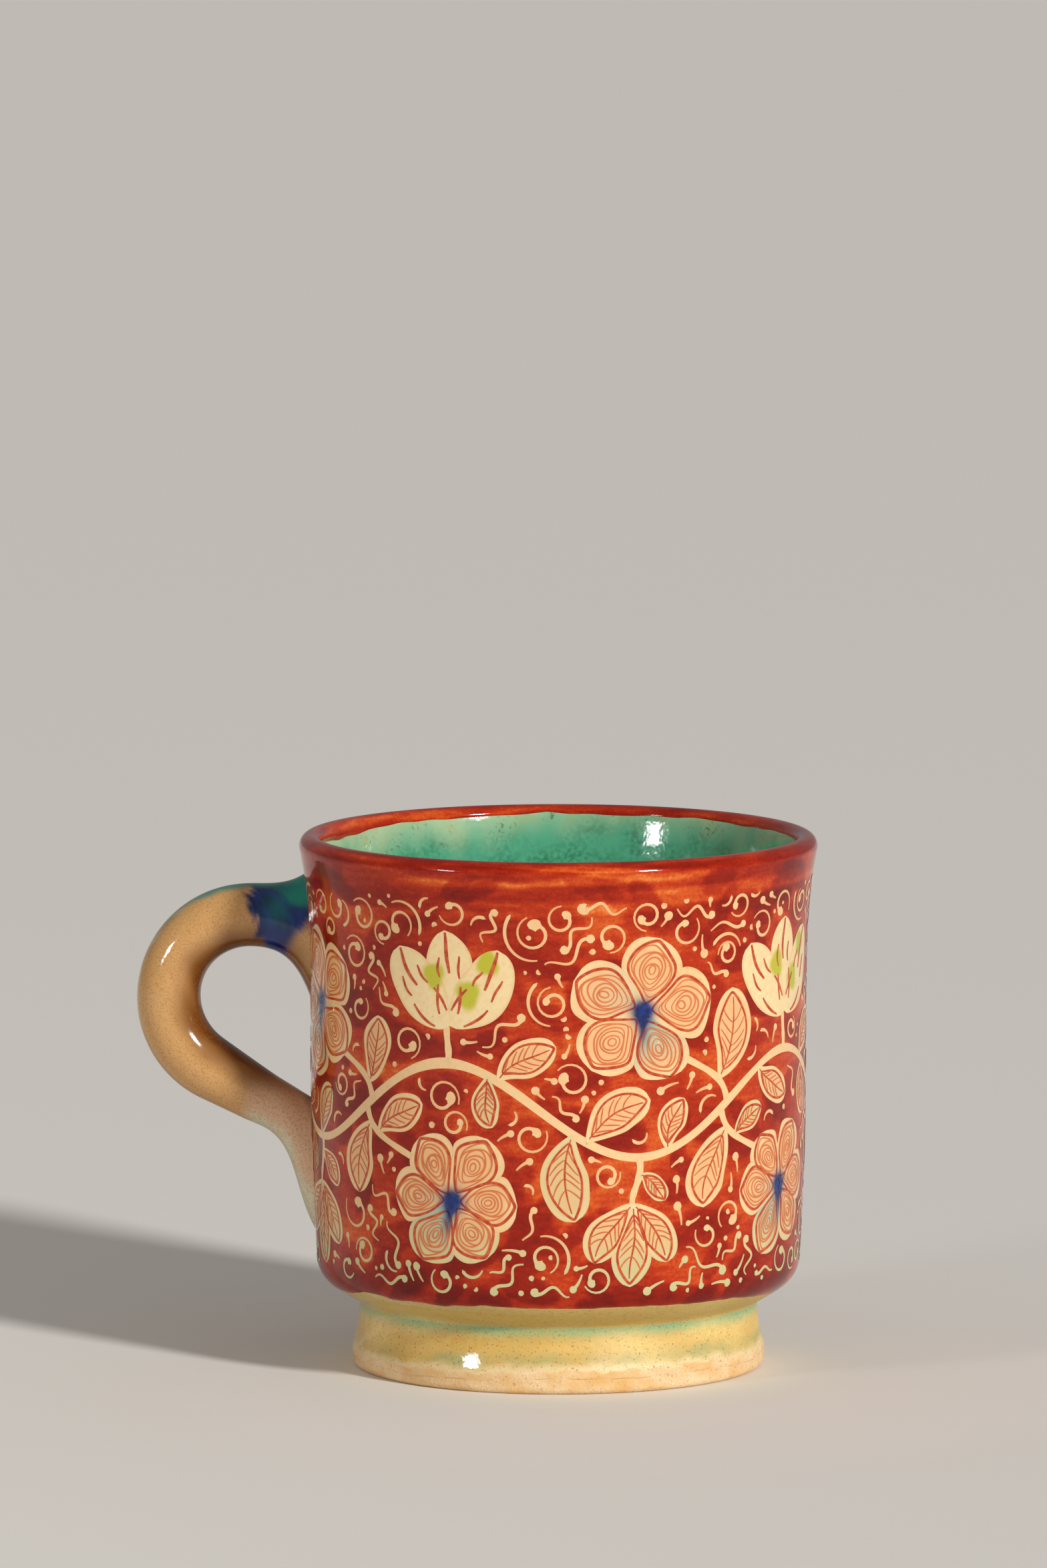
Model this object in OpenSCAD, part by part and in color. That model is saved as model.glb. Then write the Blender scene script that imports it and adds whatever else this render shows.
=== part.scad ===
// Clay mug on a turned foot, with a rolled loop handle.
// The cup is thrown in one piece of clay. The foot ring and the handle are made apart
// and stuck on with liquid clay, and the slip and the glazes are thin fired coats.
// Millimetres. The cup's axis is Z, the foot stands on Z = 0 and the handle points to -X.

/* [Cup] */
// Height from the table to the top of the lip
height = 93; // [85:1:110]
// Outside diameter at the lip
lip_d = 90; // [88:1:96]
// Outside diameter at the waist
waist_d = 86; // [82:1:88]
// Outside diameter where the wall turns in to the shoulder
shoulder_d = 84; // [80:1:86]
// Height of the waist above the table
waist_z = 60; // [52:1:66]
// Height of the shoulder, from the foot up to the wall
shoulder_h = 8; // [6:0.5:11]
// Thickness of the wall, measured level
wall_t = 4; // [3.4:0.1:5]
// Thickness of the floor
floor_t = 5.5; // [4:0.5:7]
// Radius of the inside corner between wall and floor
floor_fillet_r = 9; // [5:1:14]

/* [Foot] */
// Outside diameter of the foot near the table
foot_d = 71.8; // [70:0.2:76]
// Outside diameter at the neck, where the foot meets the cup
neck_d = 69.2; // [64:0.2:69.8]
// Height of the foot
foot_h = 11.5; // [9:0.5:13]
// Width of the ring that stands on the table
foot_ring_w = 6.2; // [4:0.2:9]
// Rounding of the foot's lower edges
foot_edge_r = 1.2; // [0.6:0.1:1.8]
// Height of the bare clay band at the bottom of the foot
bare_z = 4.2; // [3:0.1:6]

/* [Handle] */
// Diameter of the clay roll with its glaze
roll_d = 11; // [9:0.5:13]
// Diameter of the roll where it runs into the tail
tail_d = 9; // [7:0.5:9]
// Distance from the top of the lip down to the upper arm
arm_gap = 9.2; // [7.5:0.1:14]
// Distance that the upper arm runs out from the wall
arm_len = 10.3; // [8:0.1:14]
// Angle that the loop turns through
loop_sweep = 150; // [145:1:155]
// Distance from the wall to the end of the roll, along the lower arm
tail_len = 9.6; // [8:0.2:12]
// Height of the tail on the wall, from its point up to the middle of the lower arm
tail_h = 19; // [14:0.2:20]
// Height of the tail's point above the shoulder
tail_gap = 2.5; // [2:0.5:8]
// Height that the upper root spreads above the roll
root_rise = 2; // [1:0.2:3]
// Depth that the upper root spreads below the roll
root_drop = 11; // [8:0.5:14]
// Width of the roots on the wall
root_w = 14; // [12:0.5:18]

/* [Coats] */
// Thickness of the slip and glaze coats
coat_t = 0.35; // [0.2:0.05:0.6]
// Thickness of the luting slip in the joints
lute_t = 0.3; // [0.2:0.05:0.5]
// Distance that the red slip runs down the shoulder
slip_drop = 3.9; // [2:0.1:5]
// Width of the painted band below the lip, outside
band_outside = 3; // [2:0.5:5]
// Width of the painted band below the lip, inside
band_inside = 3; // [2:0.5:6]

/* [Hidden] */
$fn = 96;

clay = "#c9a06a";
wet_clay = "#b98f5c";
honey = "#c8a24f";
copper_green = "#3fa583";
iron_red = "#9c2a17";
cobalt = "#1c2f63";

// Shape of the wall: how sharply it flares to the lip and tapers to the shoulder
flare_power = 3.3;
taper_power = 2.5;
// Shape of the foot: the share of its height that spreads towards the table, and how sharply
foot_spread = 0.68;
foot_power = 2;

// Points along each stretch of the outline
wall_steps = 16;
shoulder_steps = 8;
lip_steps = 12;
foot_steps = 6;
band_steps = 3;
search_steps = 40;
// Sides and rings of the roots, and how deep they run into the wall before they are cut to it
root_sides = 24;
root_rings = 12;
embed = 1.6;
// How far a cut runs past the ends of the piece that it opens
cut_past = 1;
// Shape of the shoulder: how far its two bends reach, as shares of its own width and height
neck_bend = [0.6, 0.33];
shoulder_bend = 0.54;
// Shape of the roots: where the bends of their guide lines lie, as shares of the roots' own lengths
root_bend = [0.5, 0.7];
root_turn = [0.16, 0.12];
root_fall = 0.4;
root_past = [2, 1.3];
tail_bend = [0.95, 0.66];
tail_fall = [0.2, 1.5];
// Widest share of the space between the arms that the upper root may take
root_share = 0.6;

lip_flare = lip_d / 2 - waist_d / 2;
flare_slope = flare_power * lip_flare / (height - waist_z);
lip_tilt = atan(flare_slope);
lip_r = wall_t * cos(lip_tilt) / 2;
lip_z = height - lip_r;
neck_r = neck_d / 2;
foot_r = foot_d / 2;
floor_z = foot_h + floor_t;
shoulder_z = foot_h + shoulder_h;
shoulder_r = shoulder_d / 2;
slip_z = shoulder_z - slip_drop;

function bezier(a, b, c, d, t) =
    pow(1 - t, 3) * a + 3 * pow(1 - t, 2) * t * b + 3 * (1 - t) * t * t * c + pow(t, 3) * d;

// Outside radius of the glazed wall at a height between the shoulder and the lip
function wall_r(z) = z > waist_z
    ? waist_d / 2 + lip_flare * pow((z - waist_z) / (lip_z - waist_z), flare_power)
    : waist_d / 2 - (waist_d / 2 - shoulder_r) * pow((waist_z - z) / (waist_z - shoulder_z), taper_power);

// Least outside radius of the glazed wall between two heights
function least_wall_r(from, to) = min([for (i = [0:wall_steps]) wall_r(from + (to - from) * i / wall_steps)]);

// Outside radius of the glazed foot at a height
function foot_side_r(z) =
    neck_r + (foot_r - neck_r) * pow(min(1, (1 - z / foot_h) / foot_spread), foot_power);

// Point i of a list moved out along the list's own normal, on the right of its direction
function moved(p, i, d) =
    let (before = p[max(i - 1, 0)], after = p[min(i + 1, len(p) - 1)], along = after - before)
    p[i] + d * [along[1], -along[0]] / norm(along);

function reversed(p) = [for (i = [len(p) - 1:-1:0]) p[i]];
function part_of(p, from, to) = [for (i = [from:to]) p[i]];

// Outline of the glazed cup, from the neck up the outside, over the lip and down to the floor's middle
neck_turn = [neck_r + neck_bend[0] * (shoulder_r - neck_r), foot_h + neck_bend[1] * shoulder_h];
shoulder_turn = [shoulder_r, shoulder_z - shoulder_bend * shoulder_h];
function shoulder_point(t) =
    bezier([neck_r, foot_h], neck_turn, shoulder_turn, [shoulder_r, shoulder_z], t);
slip_t = lookup(slip_z, [for (i = [0:search_steps]) let (t = i / search_steps) [shoulder_point(t)[1], t]]);
under_slip = [for (i = [0:shoulder_steps]) shoulder_point(slip_t * i / shoulder_steps)];
shoulder = [for (i = [1:shoulder_steps]) shoulder_point(slip_t + (1 - slip_t) * i / shoulder_steps)];
band_z = lip_z - band_outside;
wall = [for (i = [1:wall_steps]) let (z = shoulder_z + (band_z - shoulder_z) * i / wall_steps)
        [wall_r(z), z]];
lip_start_z = lip_z - lip_r * sin(lip_tilt);
band_side = [for (i = [1:band_steps]) let (z = band_z + (lip_start_z - band_z) * i / band_steps)
             [wall_r(z), z]];
lip_middle = [lip_d / 2 - wall_t / 2, lip_z];
lip = [for (i = [1:lip_steps - 1]) let (a = -lip_tilt + 180 * i / lip_steps)
       lip_middle + lip_r * [cos(a), sin(a)]];
inner_top_z = lip_z - band_inside;
inner_low_z = floor_z + floor_fillet_r;
lip_end_z = lip_z + lip_r * sin(lip_tilt);
band_in = [for (i = [0:band_steps]) let (z = lip_end_z + (inner_top_z - lip_end_z) * i / band_steps)
           [wall_r(min(z, lip_z)) - wall_t, z]];
inner_wall = [for (i = [1:wall_steps]) let (z = inner_top_z + (inner_low_z - inner_top_z) * i / wall_steps)
              [wall_r(z) - wall_t, z]];
inner_low_r = wall_r(inner_low_z) - wall_t;
inner_corner = [for (i = [1:shoulder_steps]) let (a = 90 * i / shoulder_steps)
                [inner_low_r - floor_fillet_r * (1 - cos(a)), inner_low_z - floor_fillet_r * sin(a)]];
skin = concat(under_slip, shoulder, wall, band_side, lip, band_in, inner_wall, inner_corner, [[0, floor_z]]);

// Where each coat starts and ends along that outline
slip_start = len(under_slip) - 1;
band_start = slip_start + len(shoulder) + len(wall);
green_start = band_start + len(band_side) + len(lip) + len(band_in);
skin_end = len(skin) - 1;

// The clay lies one coat inside the outline, and its corner at the neck lines up with the foot's clay
neck_clay_r = neck_r - coat_t;
clay_skin = concat([[neck_clay_r, foot_h]], [for (i = [1:skin_end - 1]) moved(skin, i, -coat_t)],
                   [[0, floor_z - coat_t]]);

module turned(points) {
    rotate_extrude() polygon(points);
}

// A coat between two places on the cup's outline
module cup_coat(from, to) {
    turned(concat(part_of(skin, from, to), reversed(part_of(clay_skin, from, to))));
}

// The cup's outside as one solid, grown out from the clay, for cutting what sticks to the wall
module cup_solid(grow) {
    outside = [for (i = [1:green_start - 1]) moved(skin, i, grow - coat_t)];
    turned(concat([[0, foot_h]], [[neck_clay_r, foot_h]], outside, [[0, outside[len(outside) - 1][1]]]));
}

module cup_body() {
    color(clay) turned(concat([[0, foot_h]], clay_skin));
}

// Outline of the foot's clay, up the outside, from the table to the luted joint
foot_top_z = foot_h - lute_t;
foot_side_z = foot_edge_r * 2;
foot_in_r = foot_r - foot_ring_w;
neck_in_r = neck_r - foot_ring_w;
function edge_arc(middle, from) = [for (i = [0:foot_steps]) let (a = from + 90 * i / foot_steps)
                                   middle + foot_edge_r * [cos(a), sin(a)]];
foot_low_r = foot_side_r(foot_side_z) - coat_t;
foot_outside = concat(edge_arc([foot_low_r - foot_edge_r, foot_edge_r], -90),
                      [for (i = [0:foot_steps])
                       let (z = foot_side_z + (foot_top_z - foot_side_z) * i / foot_steps)
                       [foot_side_r(z) - coat_t, z]]);
foot_inside = concat([[neck_in_r, foot_top_z]], edge_arc([foot_in_r + foot_edge_r, foot_edge_r], 180));

module foot_ring() {
    color(clay) turned(concat(foot_outside, foot_inside));
}

module foot_lute() {
    color(wet_clay) turned([[neck_in_r, foot_top_z], [foot_side_r(foot_top_z) - coat_t, foot_top_z],
                            [neck_clay_r, foot_h], [neck_in_r, foot_h]]);
}

// The honey glaze runs from the bare band up the foot, round the neck and under the shoulder
foot_glazed = [for (i = [0:foot_steps]) let (z = bare_z + (foot_top_z - bare_z) * i / foot_steps)
               [foot_side_r(z), z]];

module foot_glaze() {
    outside = concat(foot_glazed, part_of(skin, 0, slip_start));
    inside = concat([for (p = foot_glazed) p - [coat_t, 0]], part_of(clay_skin, 0, slip_start));
    color(honey) turned(concat(outside, reversed(inside)));
}

module outer_slip() {
    color(iron_red) difference() {
        cup_coat(slip_start, band_start);
        upper_shape(0);
        tail_shape(0);
    }
}

module rim_band() {
    color(iron_red) difference() {
        cup_coat(band_start, green_start);
        upper_shape(0);
    }
}

module inner_glaze() {
    color(copper_green) cup_coat(green_start, skin_end);
}

// The handle lies in the plane Y = 0. Its middle line leaves the wall level, turns round the loop
// and comes back to the wall along a slope. The loop is as large as the heights of its two ends make it.
arm_z = height - arm_gap - roll_d / 2;
tail_z = shoulder_z + tail_gap;
lower_arm_z = tail_z + tail_h;
arm_x = wall_r(arm_z) + arm_len;
lower_wall_r = wall_r(lower_arm_z);
slope = loop_sweep - 180;
loop_end_side = [cos(90 + loop_sweep), sin(90 + loop_sweep)];
loop_r = (arm_z - lower_arm_z + tan(slope) * (arm_x - lower_wall_r))
         / (1 - loop_end_side[1] + tan(slope) * loop_end_side[0]);
loop_middle = [-arm_x, arm_z - loop_r];
loop_end = loop_middle + loop_r * loop_end_side;
down_slope = [cos(slope), sin(slope)];
across_slope = [-sin(slope), cos(slope)];
lower_run = (-lower_wall_r - loop_end[0]) / cos(slope) - tail_len;
roll_end = loop_end + lower_run * down_slope;

// The roll, one coat smaller where inset is coat_t, and longer by past at both ends. It is drawn flat,
// with the loop starting from the lower arm, and then stood up in the handle's plane.
module roll_shape(inset, past) {
    run = lower_run + past;
    end_d = roll_d + (tail_d - roll_d) * run / lower_run;
    translate([loop_middle[0], 0, loop_middle[1]]) rotate([-90, 0, 0]) rotate([0, 0, -90 - loop_sweep]) {
        rotate_extrude(angle = loop_sweep + asin(past / loop_r))
            translate([loop_r, 0]) circle(d = roll_d - 2 * inset);
        translate([loop_r, 0, 0]) rotate([90, 0, 0])
            cylinder(h = run, d1 = roll_d - 2 * inset, d2 = end_d - 2 * inset);
    }
}

module handle_roll() {
    color(clay) roll_shape(coat_t, 0);
}

module roll_glaze() {
    color(honey) difference() {
        roll_shape(0, 0);
        roll_shape(coat_t, cut_past);
    }
}

// A solid between two guide lines in the handle's plane: each ring is an ellipse from one line to the
// other, with its own half width
module lofted(above, below, half_w, inset) {
    rings = [for (i = [0:root_rings])
             let (middle = (above[i] + below[i]) / 2, half = (above[i] - below[i]) / 2,
                  up = half * (1 - inset / norm(half)), w = half_w[i] - inset)
             [for (k = [0:root_sides - 1]) let (a = 360 * k / root_sides, q = middle + up * cos(a))
              [q[0], w * sin(a), q[1]]]];
    points = [for (r = rings) each r];
    sides = [for (i = [0:root_rings - 1], k = [0:root_sides - 1])
             let (a = i * root_sides + k, b = i * root_sides + (k + 1) % root_sides)
             each [[a, b, a + root_sides], [b, b + root_sides, a + root_sides]]];
    first = [for (k = [root_sides - 1:-1:0]) k];
    last = [for (k = [0:root_sides - 1]) root_rings * root_sides + k];
    polyhedron(points, concat(sides, [first, last]));
}

function guide(a, b, c, d) = [for (i = [0:root_rings]) bezier(a, b, c, d, i / root_rings)];
function widths(from, to) = [for (i = [0:root_rings]) from + (to - from) * pow(i / root_rings, 2)];

// The upper root spreads from the roll onto the wall, a little upwards and far down
module upper_shape(inset) {
    r = roll_d / 2;
    top_z = arm_z + r;
    low_z = arm_z - r;
    drop = min(root_drop, root_share * (low_z - lower_arm_z - tail_d / 2));
    top_end_z = top_z + root_past[0] * root_rise;
    low_end_z = low_z - root_past[1] * drop;
    end_x = -least_wall_r(low_end_z, top_end_z) + embed;
    above = guide([-arm_x, top_z], [-arm_x + root_bend[0] * arm_len, top_z],
                  [-wall_r(top_z) - root_turn[0] * arm_len, top_z], [end_x, top_end_z]);
    below = guide([-arm_x, low_z], [-arm_x + root_bend[1] * arm_len, low_z],
                  [-wall_r(low_z) - root_turn[1] * arm_len, low_z - root_fall * drop], [end_x, low_end_z]);
    lofted(above, below, widths(r, root_w / 2), inset);
}

// The tail bends off the lower arm and is thumbed down the wall to a point
module tail_shape(inset) {
    r = tail_d / 2;
    top = roll_end + r * across_slope;
    low = roll_end - r * across_slope;
    low_end_z = tail_z - embed;
    end_x = -least_wall_r(low_end_z, lower_arm_z + r) + embed;
    top_end = [end_x, top[1] + tan(slope) * (end_x - top[0])];
    above = guide(top, top + (top_end - top) / 3, top + (top_end - top) * 2 / 3, top_end);
    below = guide(low, low + [tail_bend[0] * tail_len, -tail_fall[0] * tail_len],
                  low + [tail_bend[1] * tail_len, -tail_fall[1] * tail_len], [end_x, low_end_z]);
    lofted(above, below, widths(r, root_w / 2), inset);
}

module upper_root() {
    color(clay) difference() {
        upper_shape(coat_t);
        cup_solid(lute_t);
    }
}

module lower_tail() {
    color(clay) difference() {
        tail_shape(coat_t);
        cup_solid(lute_t);
    }
}

// The luting slip fills the gap between a root and the clay of the wall
module wall_lute() {
    color(wet_clay) intersection() {
        children();
        difference() {
            cup_solid(lute_t);
            cup_solid(0);
        }
    }
}

module upper_lute() {
    wall_lute() upper_shape(coat_t);
}

module lower_lute() {
    wall_lute() tail_shape(coat_t);
}

module root_glaze() {
    color(cobalt) difference() {
        upper_shape(0);
        upper_shape(coat_t);
        cup_solid(0);
    }
    color(honey) difference() {
        tail_shape(0);
        tail_shape(coat_t);
        cup_solid(0);
    }
}

cup_body();
foot_ring();
foot_lute();
handle_roll();
upper_root();
lower_tail();
upper_lute();
lower_lute();
inner_glaze();
outer_slip();
rim_band();
foot_glaze();
roll_glaze();
root_glaze();
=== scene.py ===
import math

import bmesh
import bpy
import numpy as np
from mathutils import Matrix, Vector


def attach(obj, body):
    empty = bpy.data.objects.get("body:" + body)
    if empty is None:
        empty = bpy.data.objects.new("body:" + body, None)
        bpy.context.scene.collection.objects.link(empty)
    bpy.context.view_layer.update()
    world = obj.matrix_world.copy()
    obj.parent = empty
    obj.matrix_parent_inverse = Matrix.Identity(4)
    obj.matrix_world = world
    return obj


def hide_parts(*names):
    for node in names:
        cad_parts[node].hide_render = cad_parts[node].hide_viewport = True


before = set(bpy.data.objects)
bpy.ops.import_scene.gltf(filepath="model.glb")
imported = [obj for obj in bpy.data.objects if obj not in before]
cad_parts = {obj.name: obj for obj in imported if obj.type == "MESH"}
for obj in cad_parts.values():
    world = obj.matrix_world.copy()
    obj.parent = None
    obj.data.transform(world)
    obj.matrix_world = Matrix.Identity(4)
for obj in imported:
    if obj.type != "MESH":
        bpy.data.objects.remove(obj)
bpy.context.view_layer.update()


# Clay under the coats
# The cup, the handle's roll and its two ends are buff earthenware, joined with a browner luting slip.
# The coats hide all of it except the underside of the floor, inside the foot ring.

MM = 0.001
CLAY = "#ecd5b0"
CLAY_SHADE = "#dcad6a"
CLAY_GRIT = "#a06c3e"
LUTING_SLIP = "#b48a5a"
CERAMIC_IOR = 1.5
MATT = 0.85
FLAME_SIZE = 6 * MM
FLAME_SQUASH = 1.6
GRIT_SIZE = 0.45 * MM
# Sand in such clay is finer than this. It is drawn coarser so that it shows.
SAND_SIZE = 0.4 * MM
SAND_SHADE = 0.65
SAND_DEPTH = 0.05 * MM


def linear(hex_code):
    """The linear colour of an sRGB hex code: c / 12.92 for dark channels, ((c + 0.055) / 1.055) ^ 2.4 for
    the others."""
    srgb = np.array([int(hex_code[i:i + 2], 16) for i in (1, 3, 5)]) / 255
    rgb = np.where(srgb <= 0.04045, srgb / 12.92, ((srgb + 0.055) / 1.055) ** 2.4)
    return (*rgb.tolist(), 1.0)


def add_node(material, kind, inputs=None, out=0, stops=(), **settings):
    """Adds a node with its settings and ramp stops, and gives one of its outputs. An input given as a socket
    is linked, and any other is set."""
    tree = material.node_tree
    made = tree.nodes.new("ShaderNode" + kind)
    for name, value in settings.items():
        setattr(made, name, value)
    for i, (place, hex_code) in enumerate(stops):
        stop = made.color_ramp.elements[i] if i < 2 else made.color_ramp.elements.new(place)
        stop.position = place
        stop.color = linear(hex_code)
    for name, value in (inputs or {}).items():
        if isinstance(value, bpy.types.NodeSocket):
            tree.links.new(value, made.inputs[name])
        else:
            made.inputs[name].default_value = value
    return made.outputs[out] if made.outputs else None


def new_material(name, values=()):
    """An empty material, its Object coordinates, and the values of those names at its piece's points."""
    material = bpy.data.materials.new(name)
    material.use_nodes = True
    material.node_tree.nodes.clear()
    at_points = {value: add_node(material, "Attribute", out="Fac", attribute_name=value) for value in values}
    return material, add_node(material, "TexCoord", out="Object"), at_points


def laid(material, colour, *coats):
    """A colour under coats laid on in turn, each given as the share that it covers, from 0 to 1, and its
    colour. A colour is a hex code or a socket."""
    for share, coat_colour in coats:
        below, above = (linear(v) if isinstance(v, str) else v for v in (colour, coat_colour))
        colour = add_node(material, "Mix", {0: share, 6: below, 7: above}, 2, data_type="RGBA")
    return colour


def blotches(material, place, size, low, high, most=1.0, detail=2.0):
    """Blotches of a size in metres: a noise taken smoothly from 0 at its low to most at its high."""
    grey_and_shoulder_shade = add_node(material, "TexNoise", {"Vector": place, "Scale": 1 / size, "Detail": detail})
    limits = {0: grey_and_shoulder_shade, 1: low, 2: high, 4: most}
    return add_node(material, "MapRange", limits, interpolation_type="SMOOTHSTEP")


def fire(material, colour, roughness, relief, depth, ior=CERAMIC_IOR):
    """Ends a material: a surface of that colour and roughness, with relief as a bump of that depth."""
    normal = add_node(material, "Bump", {"Height": relief, "Distance": depth, "Strength": 1.0})
    inputs = {"Base Color": colour, "Roughness": roughness, "IOR": ior, "Normal": normal}
    add_node(material, "OutputMaterial", {"Surface": add_node(material, "BsdfPrincipled", inputs)})
    return material


def clay_body(material, place, light, shade):
    """The colour of bare fired earthenware, streaked by the flame and dotted with grit, and its sand."""
    level = add_node(material, "Mapping", {"Vector": place, "Scale": (1, 1, FLAME_SQUASH)})
    flame = blotches(material, level, FLAME_SIZE, 0.3, 0.75, detail=5.0)
    sand = blotches(material, place, SAND_SIZE, 0.2, 0.8, detail=4.0)
    between_sand = add_node(material, "Math", {0: sand, 1: SAND_SHADE}, operation="MULTIPLY")
    grit = blotches(material, place, GRIT_SIZE, 0.62, 0.74, 0.7)
    return laid(material, light, (flame, shade), (between_sand, shade), (grit, CLAY_GRIT)), sand


def fired_clay(name, light, shade):
    """Bare fired earthenware. It has no highlights, and the eye sees sand and dark grit in it."""
    material, place, _ = new_material(name)
    body, sand = clay_body(material, place, light, shade)
    return fire(material, body, MATT, sand, SAND_DEPTH)


bare_clay = fired_clay("bare fired earthenware", CLAY, CLAY_SHADE)
joint_clay = fired_clay("fired luting slip", LUTING_SLIP, CLAY_SHADE)
for node_name in ("cup_body", "handle_roll", "upper_root", "lower_tail"):
    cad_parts[node_name].material_slots[0].material = bare_clay
for node_name in ("foot_lute", "upper_lute", "lower_lute"):
    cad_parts[node_name].material_slots[0].material = joint_clay


# Foot ring
# A ring of the same clay, turned on the wheel and luted under the cup. It stands on the table bare of glaze,
# and its lower edge is worn and sandy.

FOOT_R = 35.9
NECK_R = 34.6
FOOT_H = 11.5
FOOT_POWER = 2.0
FOOT_SPREAD = 0.68
FOOT_BEND = 1.0
FOOT_RING_W = 6.2
FOOT_EDGE_R = 1.2
FOOT_TOP = 11.2
FOOT_TURNS = 400
FOOT_STEP = 0.4
BARE_Z = 4.2
# The bare clay stands out this far, so that the glaze thins out onto it without a step.
BARE_PROUD = 0.22
COAT = 0.35
WAIST_R = 43.0
WAVES = 24
MERGED = 1e-4


def ripple(rng, angle, height, width, tall):
    """A smooth random field, about -1 to 1, with blotches of that width and height in mm: plane waves added
    up, each with a whole number of turns round the cup, so that the field closes on itself."""
    turns = np.rint(rng.normal(0, 2.5 * WAIST_R / width, WAVES))
    rises = rng.normal(0, 2.5 / tall, WAVES)
    starts = rng.uniform(0, 2 * math.pi, WAVES)
    field = sum(np.cos(t * angle + k * height + a) for t, k, a in zip(turns, rises, starts))
    return 0.6 * field * math.sqrt(2 / WAVES)


def smoothstep(low, high, x):
    """0 below low, 1 above high, and 3t^2 - 2t^3 between them."""
    t = np.clip((x - low) / (high - low), 0, 1)
    return t * t * (3 - 2 * t)


def foot_side(z):
    """Radius of the glazed foot at a height: it spreads from the neck with a power of the depth, and then
    stays. The bend is rounded by averaging over a short height."""
    near_z = np.asarray(z)[..., None] + FOOT_BEND * np.linspace(-1, 1, 9)
    spread = np.clip((1 - near_z / FOOT_H) / FOOT_SPREAD, 0, 1) ** FOOT_POWER
    return NECK_R + (FOOT_R - NECK_R) * spread.mean(-1)


def resampled(line, step):
    """A line of points at equal steps along its length."""
    reach = np.concatenate([[0], np.cumsum(np.linalg.norm(np.diff(line, axis=0), axis=1))])
    at = np.linspace(0, reach[-1], int(reach[-1] / step) + 1)
    return np.stack([np.interp(at, reach, line[:, k]) for k in range(line.shape[1])], -1)


def grid_faces(n, m, close_n, close_m):
    """Corner numbers of the quads of an n by m grid. A closed direction joins its last line to its first."""
    i = np.arange(n if close_n else n - 1)[:, None]
    j = np.arange(m if close_m else m - 1)[None, :]
    after_i, after_j = (i + 1) % n, (j + 1) % m
    corners = [i * m + j, after_i * m + j, after_i * m + after_j, i * m + after_j]
    return np.stack(corners, -1).reshape(-1, 4)


def add_object(name, data):
    """An object of the scene with a mesh, a lamp or a camera as its data."""
    made = bpy.data.objects.new(name, data)
    bpy.context.scene.collection.objects.link(made)
    return made


def add_piece(name, points, material, replaced=(), values=None, faces=None, normals=None):
    """A piece of the mug from points in mm, named values at them and the corner numbers of its faces. Unless
    faces are given, they are those of a grid closed both ways. Points that fall together, as at a pole, are
    merged, unless the faces' corners have normals of their own."""
    if faces is None:
        faces = grid_faces(*points.shape[:2], True, True).tolist()
    mesh = bpy.data.meshes.new(name)
    mesh.from_pydata((points.reshape(-1, 3) * MM).tolist(), [], faces)
    for value_name, value in (values or {}).items():
        layer = mesh.attributes.new(value_name, "FLOAT", "POINT")
        layer.data.foreach_set("value", np.ascontiguousarray(value, np.float32).ravel())
    mesh.polygons.foreach_set("use_smooth", np.ones(len(mesh.polygons), bool))
    if normals is None:
        work = bmesh.new()
        work.from_mesh(mesh)
        bmesh.ops.remove_doubles(work, verts=work.verts, dist=MERGED * MM)
        work.to_mesh(mesh)
        work.free()
    else:
        mesh.normals_split_custom_set(normals.tolist())
    mesh.materials.append(material)
    piece = add_object(name, mesh)
    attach(piece, "root")
    if replaced:
        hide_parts(*replaced)


def cup_points(angle, r, z):
    """Points at an angle from the front, a distance from the axis and a height."""
    return np.stack([r * np.sin(angle), -r * np.cos(angle), z + 0 * r], -1)


foot_rng = np.random.default_rng(7)
edge_turn = np.linspace(0, math.pi / 2, 8)
low_r = foot_side(2 * FOOT_EDGE_R) - COAT
inner_r = FOOT_R - FOOT_RING_W
outside_z = np.linspace(2 * FOOT_EDGE_R, FOOT_TOP, 12)
foot_line = np.concatenate([
    np.stack([low_r - FOOT_EDGE_R * (1 - np.sin(edge_turn)), FOOT_EDGE_R * (1 - np.cos(edge_turn))], -1),
    np.stack([foot_side(outside_z) - COAT, outside_z], -1),
    [[NECK_R - FOOT_RING_W, FOOT_TOP]],
    np.stack([inner_r + FOOT_EDGE_R * (1 - np.cos(edge_turn)), FOOT_EDGE_R * (1 - np.sin(edge_turn))], -1),
])
foot_line = resampled(np.concatenate([foot_line, foot_line[:1]]), FOOT_STEP)[:-1]
foot_angle = np.linspace(0, 2 * math.pi, FOOT_TURNS, endpoint=False)[:, None]
foot_z = np.broadcast_to(foot_line[:, 1], (FOOT_TURNS, len(foot_line)))
sandy = 0.09 * ripple(foot_rng, foot_angle, foot_z, 5, 2.5)
sandy = sandy + 0.05 * ripple(foot_rng, foot_angle, foot_z, 1.6, 1.2)
sandy *= smoothstep(0.1, 1.2, foot_z)
outer_half = foot_line[:, 0] > inner_r + FOOT_RING_W / 2
unglazed = smoothstep(BARE_Z + 0.6, BARE_Z - 1.0, foot_z)
proud = np.where(outer_half, unglazed * (BARE_PROUD + sandy), -sandy)
foot_points = cup_points(foot_angle, foot_line[:, 0] + proud, foot_z)
add_piece("foot_ring_clay", foot_points, bare_clay, ["foot_ring"])


# Honey glaze of the foot
# A clear lead glaze, yellow from the clay's iron, poured under the shoulder and down the foot. Copper from
# inside the mug has run into the groove at the neck. Lower down the glaze thins out into bare clay.

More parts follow.
